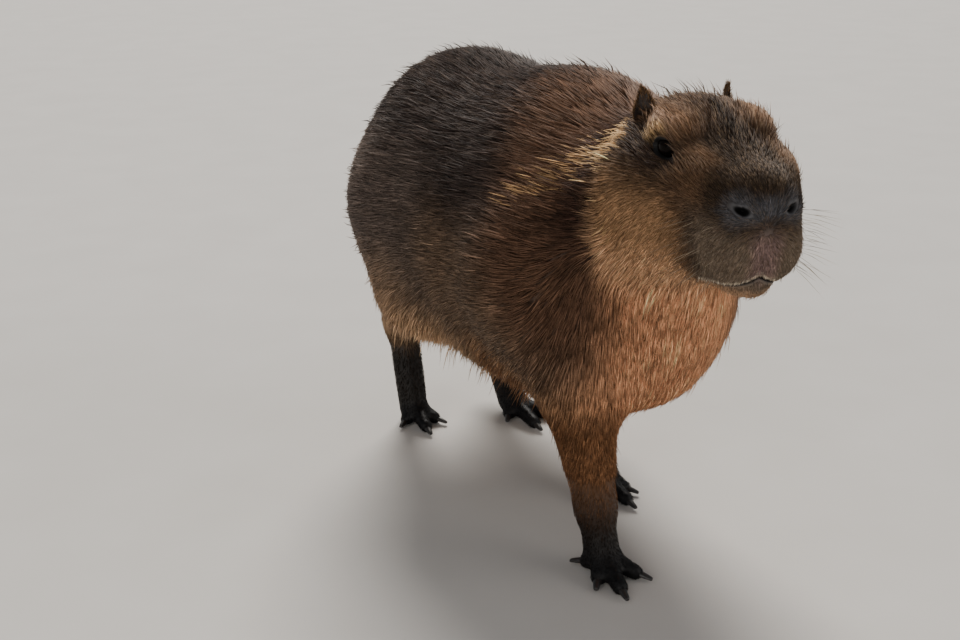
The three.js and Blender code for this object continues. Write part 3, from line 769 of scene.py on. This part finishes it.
skin_material, tree, shader = node_tree("skin")
tinted(tree, shader, noise_node(tree, 260), 0.6, 1.1)
shader.inputs["Roughness"].default_value = 0.6
shader.inputs["Specular IOR Level"].default_value = 0.3
roughen(tree, shader, noise_node(tree, 900, 6), 0.35, 0.0006)
skin.data.materials.append(skin_material)
paint(skin, 0.62 * markings(base))


# Coat
# Coarse straight bristles lying back along the body in flat tapered tufts, finest on the face and feet.
# Each tuft is a solid blade rooted in the skin, bent over it, its tip drawn to its neighbours' in clumps.
def hair_lie(p, n):
    """The way the hair lies at points of the skin: back from the nose and along the body, down the legs."""
    q = to_head(p)
    f, z = -p[:, 1], p[:, 2]
    low = 1.1 * smoothstep(330 - z, 0, 160)
    chest = smoothstep(f, 190, 300) * smoothstep(440 - z, 0, 120)
    trunk = np.stack([np.zeros(len(p)), 1 - 0.8 * chest, -0.16 - low - 1.6 * chest], 1)
    limb = (1 - smoothstep(z, 150, 240)) * (1 - smoothstep(-n[:, 2], 0.5, 0.85))
    down = np.array([0, 0.15, -1.0])
    way = trunk + (down * 1.6 - trunk) * limb[:, None]
    from_nose = q - at(112, 0, -64)
    from_nose /= np.linalg.norm(from_nose, axis=1)[:, None]
    from_nose[:, 2] -= 0.85 * smoothstep(-q[:, 2], 0, 70)
    head = smoothstep(-q[:, 1], -90, -40) * smoothstep(q[:, 2], -165, -135)
    way = way + (from_nose @ HEAD_TURN.T - way) * head[:, None]
    way -= (way * n).sum(1)[:, None] * n
    return way / np.linalg.norm(way, axis=1)[:, None]


def hair_length(p):
    """How long the tufts are: long on the back and belly, short on the muzzle, shortest on the feet."""
    q = to_head(p)
    forward, up = -q[:, 1], q[:, 2]
    f, z = -p[:, 1], p[:, 2]
    trunk = 40 + 6 * smoothstep(-f, 200, 320) + 5 * smoothstep(z, 440, 520)
    trunk = trunk - 8 * smoothstep(f, 200, 290) * (1 - smoothstep(z, 330, 430))
    leg = 3.5 + 6 * smoothstep(z, 12, 90) + 8 * smoothstep(z, 80, 170) + 26 * smoothstep(z, 140, 290)
    under = (1 - smoothstep(z, 190, 260)) * smoothstep(-np.abs(f + 20), -210, -140)
    length = np.minimum(trunk, leg) + 10 * under * smoothstep(z, 130, 160)
    face = 36 - 12 * smoothstep(forward, -90, -45) - 8 * smoothstep(forward, -40, 30)
    face = face - 7 * smoothstep(forward, 30, 105) + 4 * smoothstep(-up, 80, 110)
    bridge = smoothstep(forward, 15, 40) * (1 - smoothstep(forward, 60, 90)) * smoothstep(up, -50, -15)
    face = face + 4 * bridge
    face = face * (0.4 + 0.6 * smoothstep(near_line(p, MOUTH)[0], 2, 12))
    to_ear = np.hypot(forward + 54, np.abs(q[:, 0]) - 40)
    face = face + 8 * np.exp(-(to_ear / 16) ** 2)
    head = smoothstep(forward, -95, -60) * smoothstep(up, -160, -125)
    return length + (face - length) * head


def upright(p):
    """How much higher than elsewhere the hair stands: on the crown, the bridge, the back and the belly."""
    q = to_head(p)
    forward, up = -q[:, 1], q[:, 2]
    crown = smoothstep(up, 8, 36) * smoothstep(forward, -90, -50) * (1 - smoothstep(forward, 30, 70))
    crown = crown * (1 - 0.7 * smoothstep(np.abs(q[:, 0]), 20, 42))
    bridge = smoothstep(forward, 20, 50) * (1 - smoothstep(forward, 70, 100)) * smoothstep(up, -40, -10)
    under = (1 - smoothstep(p[:, 2], 190, 270)) * smoothstep(-np.abs(p[:, 1] + 20), -210, -130)
    return 1 + 0.7 * crown + 0.5 * bridge + 0.15 * smoothstep(p[:, 2], 470, 540) + 1.8 * under


def tuft_density(p):
    """Tufts for each square millimetre of skin, before the whole is scaled to the number wanted."""
    length = hair_length(p)
    density = 1 / (length * (0.55 + 0.038 * length)) ** 0.9
    for side in SIDES:
        density = density * (1 - smoothstep(lid_gap(p, side)[0], -3.0, -1.6))
        density = density * smoothstep(nostril_shape(p, side), 1.1, 1.9)
    to_mouth = near_line(p, MOUTH)[0]
    density = density * smoothstep(to_mouth, 1.5, 4)
    return density * smoothstep(p[:, 2], 2, 7)


def unwrap(p):
    """A place from 0 to 1 each way on an unwrap of the skin: the body above, the four legs below."""
    uv = np.empty((len(p), 2))
    f, z = -p[:, 1], p[:, 2]
    axis_height = 330 + 120 * smoothstep(f, 120, 400)
    axis_left = -42 * smoothstep(f, 220, 420)
    a, b = p[:, 0] - axis_left, z - axis_height
    radius = np.hypot(a, b)
    along = f - 0.8 * radius * np.tanh(f / 120)
    uv[:, 0] = 0.02 + 0.96 * (np.arctan2(a, b) / (2 * math.pi) + 0.5)
    uv[:, 1] = 0.36 + 0.62 * np.clip((along + 300) / 760, 0, 1)
    limb = z < 190
    for number, leg in enumerate(LEGS.values()):
        knee, ankle = leg["joints"][1][0], leg["joints"][2][0]
        t = np.clip((z - ankle[2]) / (knee[2] - ankle[2]), -0.3, 1.2)
        centre = ankle + t[:, None] * (knee - ankle)
        v = p - centre
        mine = limb & (np.hypot(v[:, 0], v[:, 1]) < 150) & (np.sign(p[:, 0]) == np.sign(knee[0]))
        mine &= (f > 0) == (-knee[1] > 0)
        turn = np.arctan2(v[mine, 0], v[mine, 1]) / (2 * math.pi) + 0.5
        uv[mine, 0] = 0.01 + 0.25 * number + 0.23 * turn
        uv[mine, 1] = 0.02 + 0.3 * np.clip(z[mine] / 190, 0, 1)
    return uv


def triangles_of(obj):
    obj.data.calc_loop_triangles()
    index = np.empty(3 * len(obj.data.loop_triangles), np.int32)
    obj.data.loop_triangles.foreach_get("vertices", index)
    return index.reshape(-1, 3)


def scatter(points, triangles, density, count, rng):
    """Roots spread evenly over triangles in step with a density at their corners."""
    corner = points[triangles]
    area = np.linalg.norm(np.cross(corner[:, 1] - corner[:, 0], corner[:, 2] - corner[:, 0]), axis=1) / 2
    weight = np.cumsum(area * density[triangles].mean(1))
    draws = (np.arange(count) + rng.uniform(0, 1, count)) / count * weight[-1]
    chosen = np.minimum(np.searchsorted(weight, draws), len(weight) - 1)
    u = np.sqrt(rng.uniform(0, 1, count))[:, None]
    v = rng.uniform(0, 1, count)[:, None]
    a, b, c = corner[chosen, 0], corner[chosen, 1], corner[chosen, 2]
    return a * (1 - u) + b * u * (1 - v) + c * u * v


def rotate_about(vectors, axes, angles):
    c, s = np.cos(angles)[:, None], np.sin(angles)[:, None]
    return vectors * c + np.cross(axes, vectors) * s + axes * (axes * vectors).sum(1)[:, None] * (1 - c)


TUFT = np.array([[0, 1, 2], [0, 2, 3], [0, 3, 1], [4, 2, 1], [4, 3, 2], [4, 1, 3]])
TUFT_PATCH = np.array([[0, -1], [-1, 0], [0, 0], [1, 0], [0, 1]]) * 0.0014
TUFT_RIDGE = 0.9  # how high its ridge stands at the bend, in half widths
LOWEST_HAIR = 0.5


def tufts(name, root, middle, tip, up, width, colours, uv):
    """One mesh of closed slender tufts, each pointed at both ends and three-sided at its bend."""
    side = np.cross(tip - root, up)
    side /= np.linalg.norm(side, axis=1)[:, None]
    half = 0.5 * width[:, None]
    ridge = middle + TUFT_RIDGE * half * up
    ring = np.stack([root, middle + side * half, ridge, middle - side * half, tip], 1)
    ring[:, :, 2] = np.maximum(ring[:, :, 2], LOWEST_HAIR)
    faces = (TUFT[None] + 5 * np.arange(len(root))[:, None, None]).reshape(-1, 3)
    obj = mesh_object(name, ring.reshape(-1, 3), faces)
    paint(obj, colours.reshape(-1, 3))
    layer = obj.data.uv_layers.new(name="OFBake")
    corner_uv = (uv[:, None, :] + TUFT_PATCH[None]).reshape(-1, 2)[faces.ravel()]
    layer.data.foreach_set("uv", corner_uv.astype(np.float32).ravel())
    return obj


BEND = 0.42  # how far along each tuft its bend lies
BEND_HEIGHT = 0.55  # how high the bend stands, as a share of the tip's height
STRAY_HEIGHT = 2.2  # how much higher stray tufts stand
CLUMP_SIZE = 26  # tufts that share a clump


def grow(root, n, way, length, rng, lift, wild, clump, strays):
    """The bends and tips of tufts from their roots, lying over the skin, and the clump each belongs to."""
    count = len(root)
    sway = rng.normal(0, wild, count)
    d0 = rotate_about(way, n, sway)
    middle, n1 = settle(root + d0 * (BEND * length)[:, None], 1)
    d1 = rotate_about(hair_lie(middle, n1), n1, sway * 0.6)
    tip, n2 = settle(middle + d1 * ((1 - BEND) * length)[:, None], 2)
    height = length * lift * upright(root) * rng.uniform(0.6, 1.3, count)
    stray = rng.uniform(0, 1, count) < strays
    height = np.where(stray, height * STRAY_HEIGHT, height)
    middle = middle + n1 * (BEND_HEIGHT * height)[:, None]
    tip = tip + n2 * height[:, None]
    leaders = rng.choice(count, max(count // CLUMP_SIZE, 1), replace=False)
    tree = KDTree(len(leaders))
    for number, i in enumerate(leaders):
        tree.insert(root[i], number)
    tree.balance()
    leader = leaders[np.array([tree.find(p)[1] for p in root])]
    away = np.linalg.norm(root - root[leader], axis=1)
    pull = np.where(stray, 0, clump) * smoothstep(1.2 * length - away, 0, 0.6 * length)
    flat = tip[leader] - tip
    flat -= (flat * n2).sum(1)[:, None] * n2
    tip = tip + pull[:, None] * flat
    middle = middle + (0.35 * pull)[:, None] * flat
    return middle, tip, leader


STRAW = linear(184, 150, 110)


ROOT_DEPTH = 1.2  # how deep the tufts are set in the skin
DARK_SHARE = 0.18  # the share of tufts that are darker than the rest


def coat(names, count, region, seed, lift, wild, clump, strays, thickness, straw):
    """Grows one region's tufts and shares them out among pieces of the coat."""
    rng = np.random.default_rng(seed)
    density = tuft_density(base) * region(base)
    root = scatter(skin_points, skin_triangles, density, count, rng)
    root, n = settle(root, 1)
    length = hair_length(root) * rng.uniform(0.7, 1.2, count)
    way = hair_lie(root, n)
    middle, tip, leader = grow(root, n, way, length, rng, lift, wild, clump, strays)
    bare = np.zeros(count, bool)
    for side in SIDES:
        for end in (middle, tip):
            gap, u, w = lid_gap(end, side)
            bare |= (gap > -1.2) | ((gap > -20) & (eye_corner(u, w) > 0))
            bare |= nostril_shape(end, side) < 1.15
    chance = 0.45 * rng.uniform(0, 1, count)[leader] + 0.55 * rng.uniform(0, 1, count)
    # Pale streaks of painted highlight, standing in for back-lit hair behind the ear and along the neck.
    highlit = np.maximum(chance, 0.06) < highlight_streaks(root)
    highlight_colour = mix(np.tile(HIGHLIGHT_STREAK, (count, 1)), EAR_HIGHLIGHT_STREAK, smoothstep(-root[:, 1], 230, 290))
    colour = np.where(highlit[:, None], highlight_colour, markings(root))
    tone = np.exp(rng.normal(0, 0.18, count)) * np.exp(rng.normal(0, 0.13, count))[leader]
    tone = np.where(rng.uniform(0, 1, count) < DARK_SHARE, 0.6 * tone, tone)
    colour = colour * tone[:, None]
    pale = straw * (rng.uniform(0, 1, count) < 0.3) * rng.uniform(0.3, 1, count)
    tip_colour = mix(1.2 * colour, STRAW, pale)
    colours = np.stack([0.6 * colour, colour, colour, colour, tip_colour], 1)
    width = thickness * (0.45 + 0.026 * length) * rng.uniform(0.7, 1.3, count)
    uv = unwrap(root)
    sunk = root - n * ROOT_DEPTH
    order = rng.permutation(count)
    order = order[~bare[order]]
    for name, share in zip(names, np.array_split(order, len(names))):
        piece = tufts(name, sunk[share], middle[share], tip[share], n[share], width[share],
                      colours[share], uv[share])
        piece.data.materials.append(coat_material)
        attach(piece, "root")


coat_material, tree, shader = node_tree("coat")
tinted(tree, shader, noise_node(tree, 420), 0.85, 1.2)
shader.inputs["Roughness"].default_value = 0.7
shader.inputs["Specular IOR Level"].default_value = 0.1

BODY_TUFTS = 152000
HEAD_TUFTS = 62000
FEET_TUFTS = 18000
DENSITY = 1.0
skin_points = coordinates(skin)
skin_triangles = triangles_of(skin)


def on_head(p):
    q = to_head(p)
    head = smoothstep(-q[:, 1], -70, -66) * smoothstep(q[:, 2], -152, -148)
    return np.where(p[:, 1] < -300, head, 0.0)


def on_feet(p):
    return (p[:, 2] < 125).astype(float)


def on_body(p):
    return (1 - on_head(p)) * (1 - on_feet(p))


coat([f"coat_body_{i}" for i in range(1, 6)], int(BODY_TUFTS * DENSITY), on_body, 11,
     lift=0.15, wild=0.13, clump=0.4, strays=0.03, thickness=0.9, straw=0.14)
coat([f"coat_head_{i}" for i in range(1, 3)], int(HEAD_TUFTS * DENSITY), on_head, 12,
     lift=0.2, wild=0.12, clump=0.3, strays=0.04, thickness=1.0, straw=0.45)
coat(["coat_feet"], int(FEET_TUFTS * DENSITY), on_feet, 13,
     lift=0.15, wild=0.12, clump=0.2, strays=0.01, thickness=1.0, straw=0.05)


# Eyes
# Nearly black wet eyeballs, round, a little brown in the iris, held in the lids.
# Each is one smooth ball set where the solid's is.
def add_ball(mesh, segments, rings, place):
    """Adds a ball to a bmesh, its vertices moved, all at once, by a function of their places."""
    made = bmesh.ops.create_uvsphere(mesh, u_segments=segments, v_segments=rings, radius=1)["verts"]
    points = place(np.array([vertex.co for vertex in made]))
    for vertex, point in zip(made, (points + ORIGIN) * 0.001):
        vertex.co = point


def finished(name, mesh, material):
    """An object from a bmesh, smooth, with its faces pointing outwards."""
    bmesh.ops.recalc_face_normals(mesh, faces=mesh.faces)
    for face in mesh.faces:
        face.smooth = True
    data = bpy.data.meshes.new(name)
    mesh.to_mesh(data)
    mesh.free()
    data.materials.append(material)
    obj = bpy.data.objects.new(name, data)
    bpy.context.collection.objects.link(obj)
    return obj


def blotched(name, dark, light, scale, roughness):
    """A material with two tones in soft blotches."""
    material, tree, shader = node_tree(name)
    noise = noise_node(tree, scale)
    ramp = tree.nodes.new("ShaderNodeValToRGB")
    ramp.color_ramp.elements[0].position = 0.32
    ramp.color_ramp.elements[0].color = (*dark, 1)
    ramp.color_ramp.elements[1].position = 0.72
    ramp.color_ramp.elements[1].color = (*light, 1)
    tree.links.new(noise.outputs["Fac"], ramp.inputs["Fac"])
    tree.links.new(ramp.outputs["Color"], shader.inputs["Base Color"])
    shader.inputs["Roughness"].default_value = roughness
    return material, tree, shader, noise


eye_material, tree, shader, _ = blotched("eye", (0.002, 0.0015, 0.0015), (0.007, 0.004, 0.003), 500, 0.1)
shader.inputs["Specular IOR Level"].default_value = 0.06
for side, word in zip(SIDES, ("right", "left")):
    centre = eye_axes(side)[0]
    mesh = bmesh.new()
    add_ball(mesh, 40, 28, lambda co: centre + (EYE_RADIUS - 0.2) * co)
    eyeball = finished(f"eyeball_{word}", mesh, eye_material)
    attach(eyeball, "root")
    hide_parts(f"eye_{word}")


# Ears
# Small upright cups of dark skin, their fronts open, with short hair on the back and a fringe at the edge.
# Each is a thin leaf, cupped and drawn to a blunt point, that grows out of the crown behind the eye.
EAR_HALF_WIDTH = 10.0
EAR_HALF_HEIGHT = 25.0
EAR_THICKNESS = 1.5
EAR_CUP = 7.0
EAR_LEAN = 4.0  # how far the tip leans outwards
EAR_HAIRS = 1600
EAR_HAIR_WIDTH = 0.6
EAR_HAIR_LENGTHS = (3.5, 7.5)


def ear_turn(side):
    return HEAD_TURN @ turn_z(side * 40) @ turn_x(10)


def ear_place(side):
    return in_head(-67, side * 43, 26)


def ear_leaf(co, side):
    """A ball pressed to a leaf: wide below, pointed above, its middle bent back to make the front a cup."""
    left, forward, up = co[:, 0], -co[:, 1], co[:, 2]
    high = np.maximum(up, 0)
    left = EAR_HALF_WIDTH * left * (1 - 0.5 * high ** 1.2)
    cup = EAR_CUP * (1 - (left / EAR_HALF_WIDTH) ** 2) * (1 - 0.45 * up)
    rim = 3.0 * np.abs(left / EAR_HALF_WIDTH) ** 6
    forward = EAR_THICKNESS * forward - cup + rim - 3.0 * up * up + 5
    return np.stack([left + side * EAR_LEAN * high ** 2, -forward, EAR_HALF_HEIGHT * up], 1)


ear_material, tree, shader, noise = blotched("ear", (0.014, 0.010, 0.008), (0.046, 0.030, 0.023), 180, 0.6)
roughen(tree, shader, noise, 0.3, 0.0004)
ear_rng = np.random.default_rng(21)
for side, word in zip(SIDES, ("right", "left")):
    turn, place = ear_turn(side), ear_place(side)
    mesh = bmesh.new()
    add_ball(mesh, 36, 26, lambda co: place + ear_leaf(co, side) @ turn.T)
    ear = finished(f"ear_shell_{word}", mesh, ear_material)
    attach(ear, "root")
    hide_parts(f"ear_{word}")
    ear_points = coordinates(ear)
    local = (ear_points - place) @ turn
    edge = np.abs(local[:, 0]) / EAR_HALF_WIDTH + np.maximum(local[:, 2], 0) / EAR_HALF_HEIGHT
    wanted = smoothstep(local[:, 2], -14, -6) * (0.25 + smoothstep(edge, 0.6, 1.0))
    number = int(EAR_HAIRS * max(DENSITY, 0.6))
    root = scatter(ear_points, triangles_of(ear), wanted, number, ear_rng)
    local = (root - place) @ turn
    n = np.stack([local[:, 0] * 0.07, ear_rng.choice([1.0, -0.3], number), 0.1 + 0 * local[:, 2]], 1)
    n = n / np.linalg.norm(n, axis=1)[:, None] @ turn.T
    way = np.stack([0.4 * local[:, 0] / EAR_HALF_WIDTH, np.full(number, 0.12), np.ones(number)], 1)
    way = way / np.linalg.norm(way, axis=1)[:, None] @ turn.T
    way = rotate_about(way, n, ear_rng.normal(0, 0.28, number))
    length = ear_rng.uniform(*EAR_HAIR_LENGTHS, number)[:, None]
    middle = root + BEND * length * way + 0.12 * length * n
    tip = root + length * way + 0.2 * length * n
    hair = mix(np.tile(linear(50, 38, 30), (number, 1)), linear(158, 122, 86),
               0.8 * ear_rng.uniform(0, 1, number) ** 2)
    shades = hair[:, None, :] * np.array([0.6, 1.0, 1.0, 1.0, 1.25])[None, :, None]
    width = np.full(number, EAR_HAIR_WIDTH)
    fringe = tufts(f"coat_ear_{word}", root - 0.4 * n, middle, tip, n, width, shades, unwrap(root))
    fringe.data.materials.append(coat_material)
    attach(fringe, "root")


# Whiskers
# Long thin bristles, stiff and a little curved, rooted in rows on the sides of the muzzle.
# Each is a slender tapered shaft set in the skin.
WHISKERS = 36  # on each side, in rows of six
WHISKER_WIDTH = 0.42
WHISKER_LENGTHS = (22, 50)
WHISKER_DEPTH = 1.5
whisker_rng = np.random.default_rng(31)
starts, targets, ways, reaches = [], [], [], []
for side in SIDES:
    for i in range(WHISKERS):
        row, column = i % 6, i // 6
        starts.append((70, side * 12, -62))
        targets.append((104 - 6 * column, side * (36 + 1.5 * column), -50 - 8.5 * row))
        way = HEAD_TURN @ at(0.5 - 0.12 * column, side * (0.9 + 0.05 * column), -0.1 - 0.1 * row)
        way = way + whisker_rng.normal(0, 0.17, 3)
        ways.append(way / np.linalg.norm(way))
        reaches.append(whisker_rng.uniform(*WHISKER_LENGTHS) * (0.7 + 0.08 * column))
roots, n = settle(march(starts, targets), 1)
ways, reaches = np.array(ways) + 0.25 * n, np.array(reaches)[:, None]
droop = reaches * (HEAD_TURN @ at(-0.14, 0, 0) + np.array([0, 0, -0.16]))
middles = roots + BEND * reaches * ways + 0.2 * droop
tips = roots + reaches * ways + droop
roots = roots - WHISKER_DEPTH * n
ups = np.cross(ways, [0.3, 0.1, 1.0])
ups /= np.linalg.norm(ups, axis=1)[:, None]
whisker_tone = mix(np.tile(linear(70, 58, 48), (len(roots), 1)), linear(190, 172, 146),
                   whisker_rng.uniform(0, 1, len(roots)))
whiskers = tufts("whiskers", roots, middles, tips, ups, np.full(len(roots), WHISKER_WIDTH),
                 np.repeat(whisker_tone[:, None, :], 5, 1), unwrap(roots))
whisker_material, tree, shader = node_tree("whisker")
tinted(tree, shader, noise_node(tree, 200), 0.75, 1.1)
shader.inputs["Roughness"].default_value = 0.4
whiskers.data.materials.append(whisker_material)
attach(whiskers, "root")


# Claws
# Blunt hoof-like claws of black horn, one on each toe, with a rounded back and a flat underside.
# Each is set in the end of its toe and clears the floor.
CLAW_ROOT = -5.0  # where the claw starts, measured from the solid toe's end
CLAW_FULL_LENGTH = CLAW_LENGTH + 7.4  # with its root in the toe
CLAW_HALF_WIDTH = 6.0
CLAW_HALF_HEIGHT = 5.4
CLAW_HEIGHT = 8.4  # the middle of its root over the floor
CLAW_FALL = 4.2


def claw_shape(co, palm, tip):
    """A ball drawn out along the toe, narrower and lower to its blunt end, flattened underneath."""
    along = (tip - palm) * (1, 1, 0)
    along /= np.linalg.norm(along)
    across = np.array([-along[1], along[0], 0])
    t = 0.5 - 0.5 * np.cos(np.pi * (0.5 + 0.5 * co[:, 2]))
    fade = np.sqrt(np.maximum(1 - co[:, 2] ** 2, 1e-12))
    girth = np.maximum(fade, 1e-6)
    x, y = co[:, 0] / girth, co[:, 1] / girth
    body = fade ** 0.55
    wide = CLAW_HALF_WIDTH * (1 - 0.4 * t) * body
    high = CLAW_HALF_HEIGHT * (1 - 0.52 * t) * body * np.where(y > 0, 1, 0.72)
    point = tip + along * (CLAW_ROOT + CLAW_FULL_LENGTH * t)[:, None] + across * (wide * x)[:, None]
    point[:, 2] = CLAW_HEIGHT - CLAW_FALL * t ** 1.4 + high * y
    return point


horn_dark, horn_light = (0.006, 0.005, 0.005), (0.03, 0.026, 0.024)
claw_material, tree, shader, noise = blotched("claw", horn_dark, horn_light, 350, 0.38)
roughen(tree, shader, noise, 0.3, 0.0004)
for name, leg in LEGS.items():
    foot = name.replace("leg", "foot")
    mesh = bmesh.new()
    for toe in leg["toes"]:
        add_ball(mesh, 20, 16, lambda co: claw_shape(co, leg["palm"][0], toe))
    claws = finished(f"claws_{foot}", mesh, claw_material)
    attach(claws, "root")
    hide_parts(*[f"{foot}_claw_{i + 1}" for i in range(len(leg["toes"]))])


# Floor and light
# A plain pale floor and soft studio light from behind and both sides.
FLOOR_HALF_WIDTH = 30  # metres
mesh = bmesh.new()
bmesh.ops.create_grid(mesh, x_segments=1, y_segments=1, size=FLOOR_HALF_WIDTH)
floor_mesh = bpy.data.meshes.new("floor")
mesh.to_mesh(floor_mesh)
mesh.free()
floor = bpy.data.objects.new("floor", floor_mesh)
bpy.context.collection.objects.link(floor)
floor_material, _, _, _ = blotched("floor", (0.56, 0.535, 0.505), (0.59, 0.565, 0.535), 6, 0.9)
floor_mesh.materials.append(floor_material)


def aim(light, place):
    """Sets a sun where it shines from a place on the frame's origin."""
    light.location = place
    light.rotation_euler = Vector(place).to_track_quat("Z", "Y").to_euler()
    bpy.context.collection.objects.link(light)


back_light = bpy.data.lights.new("back_light", "SUN")
back_light.angle = math.radians(24)
back_light.energy = 5.0
back_light.color = (1.0, 0.96, 0.9)
aim(bpy.data.objects.new("back_light", back_light), (1.2, 2.6, 2.2))
for name, place, strength in (("right_light", (-2.2, -1.9, 0.7), 1.25),
                              ("left_light", (2.0, -1.6, 0.5), 1.2)):
    fill = bpy.data.lights.new(name, "SUN")
    fill.angle = math.radians(50)
    fill.energy = strength
    fill.color = (1.0, 0.95, 0.89)
    aim(bpy.data.objects.new(name, fill), place)
world = bpy.data.worlds.new("world")
world.use_nodes = True
world.node_tree.nodes["Background"].inputs["Color"].default_value = (0.92, 0.95, 1.0, 1)
world.node_tree.nodes["Background"].inputs["Strength"].default_value = 0.28
bpy.context.scene.world = world
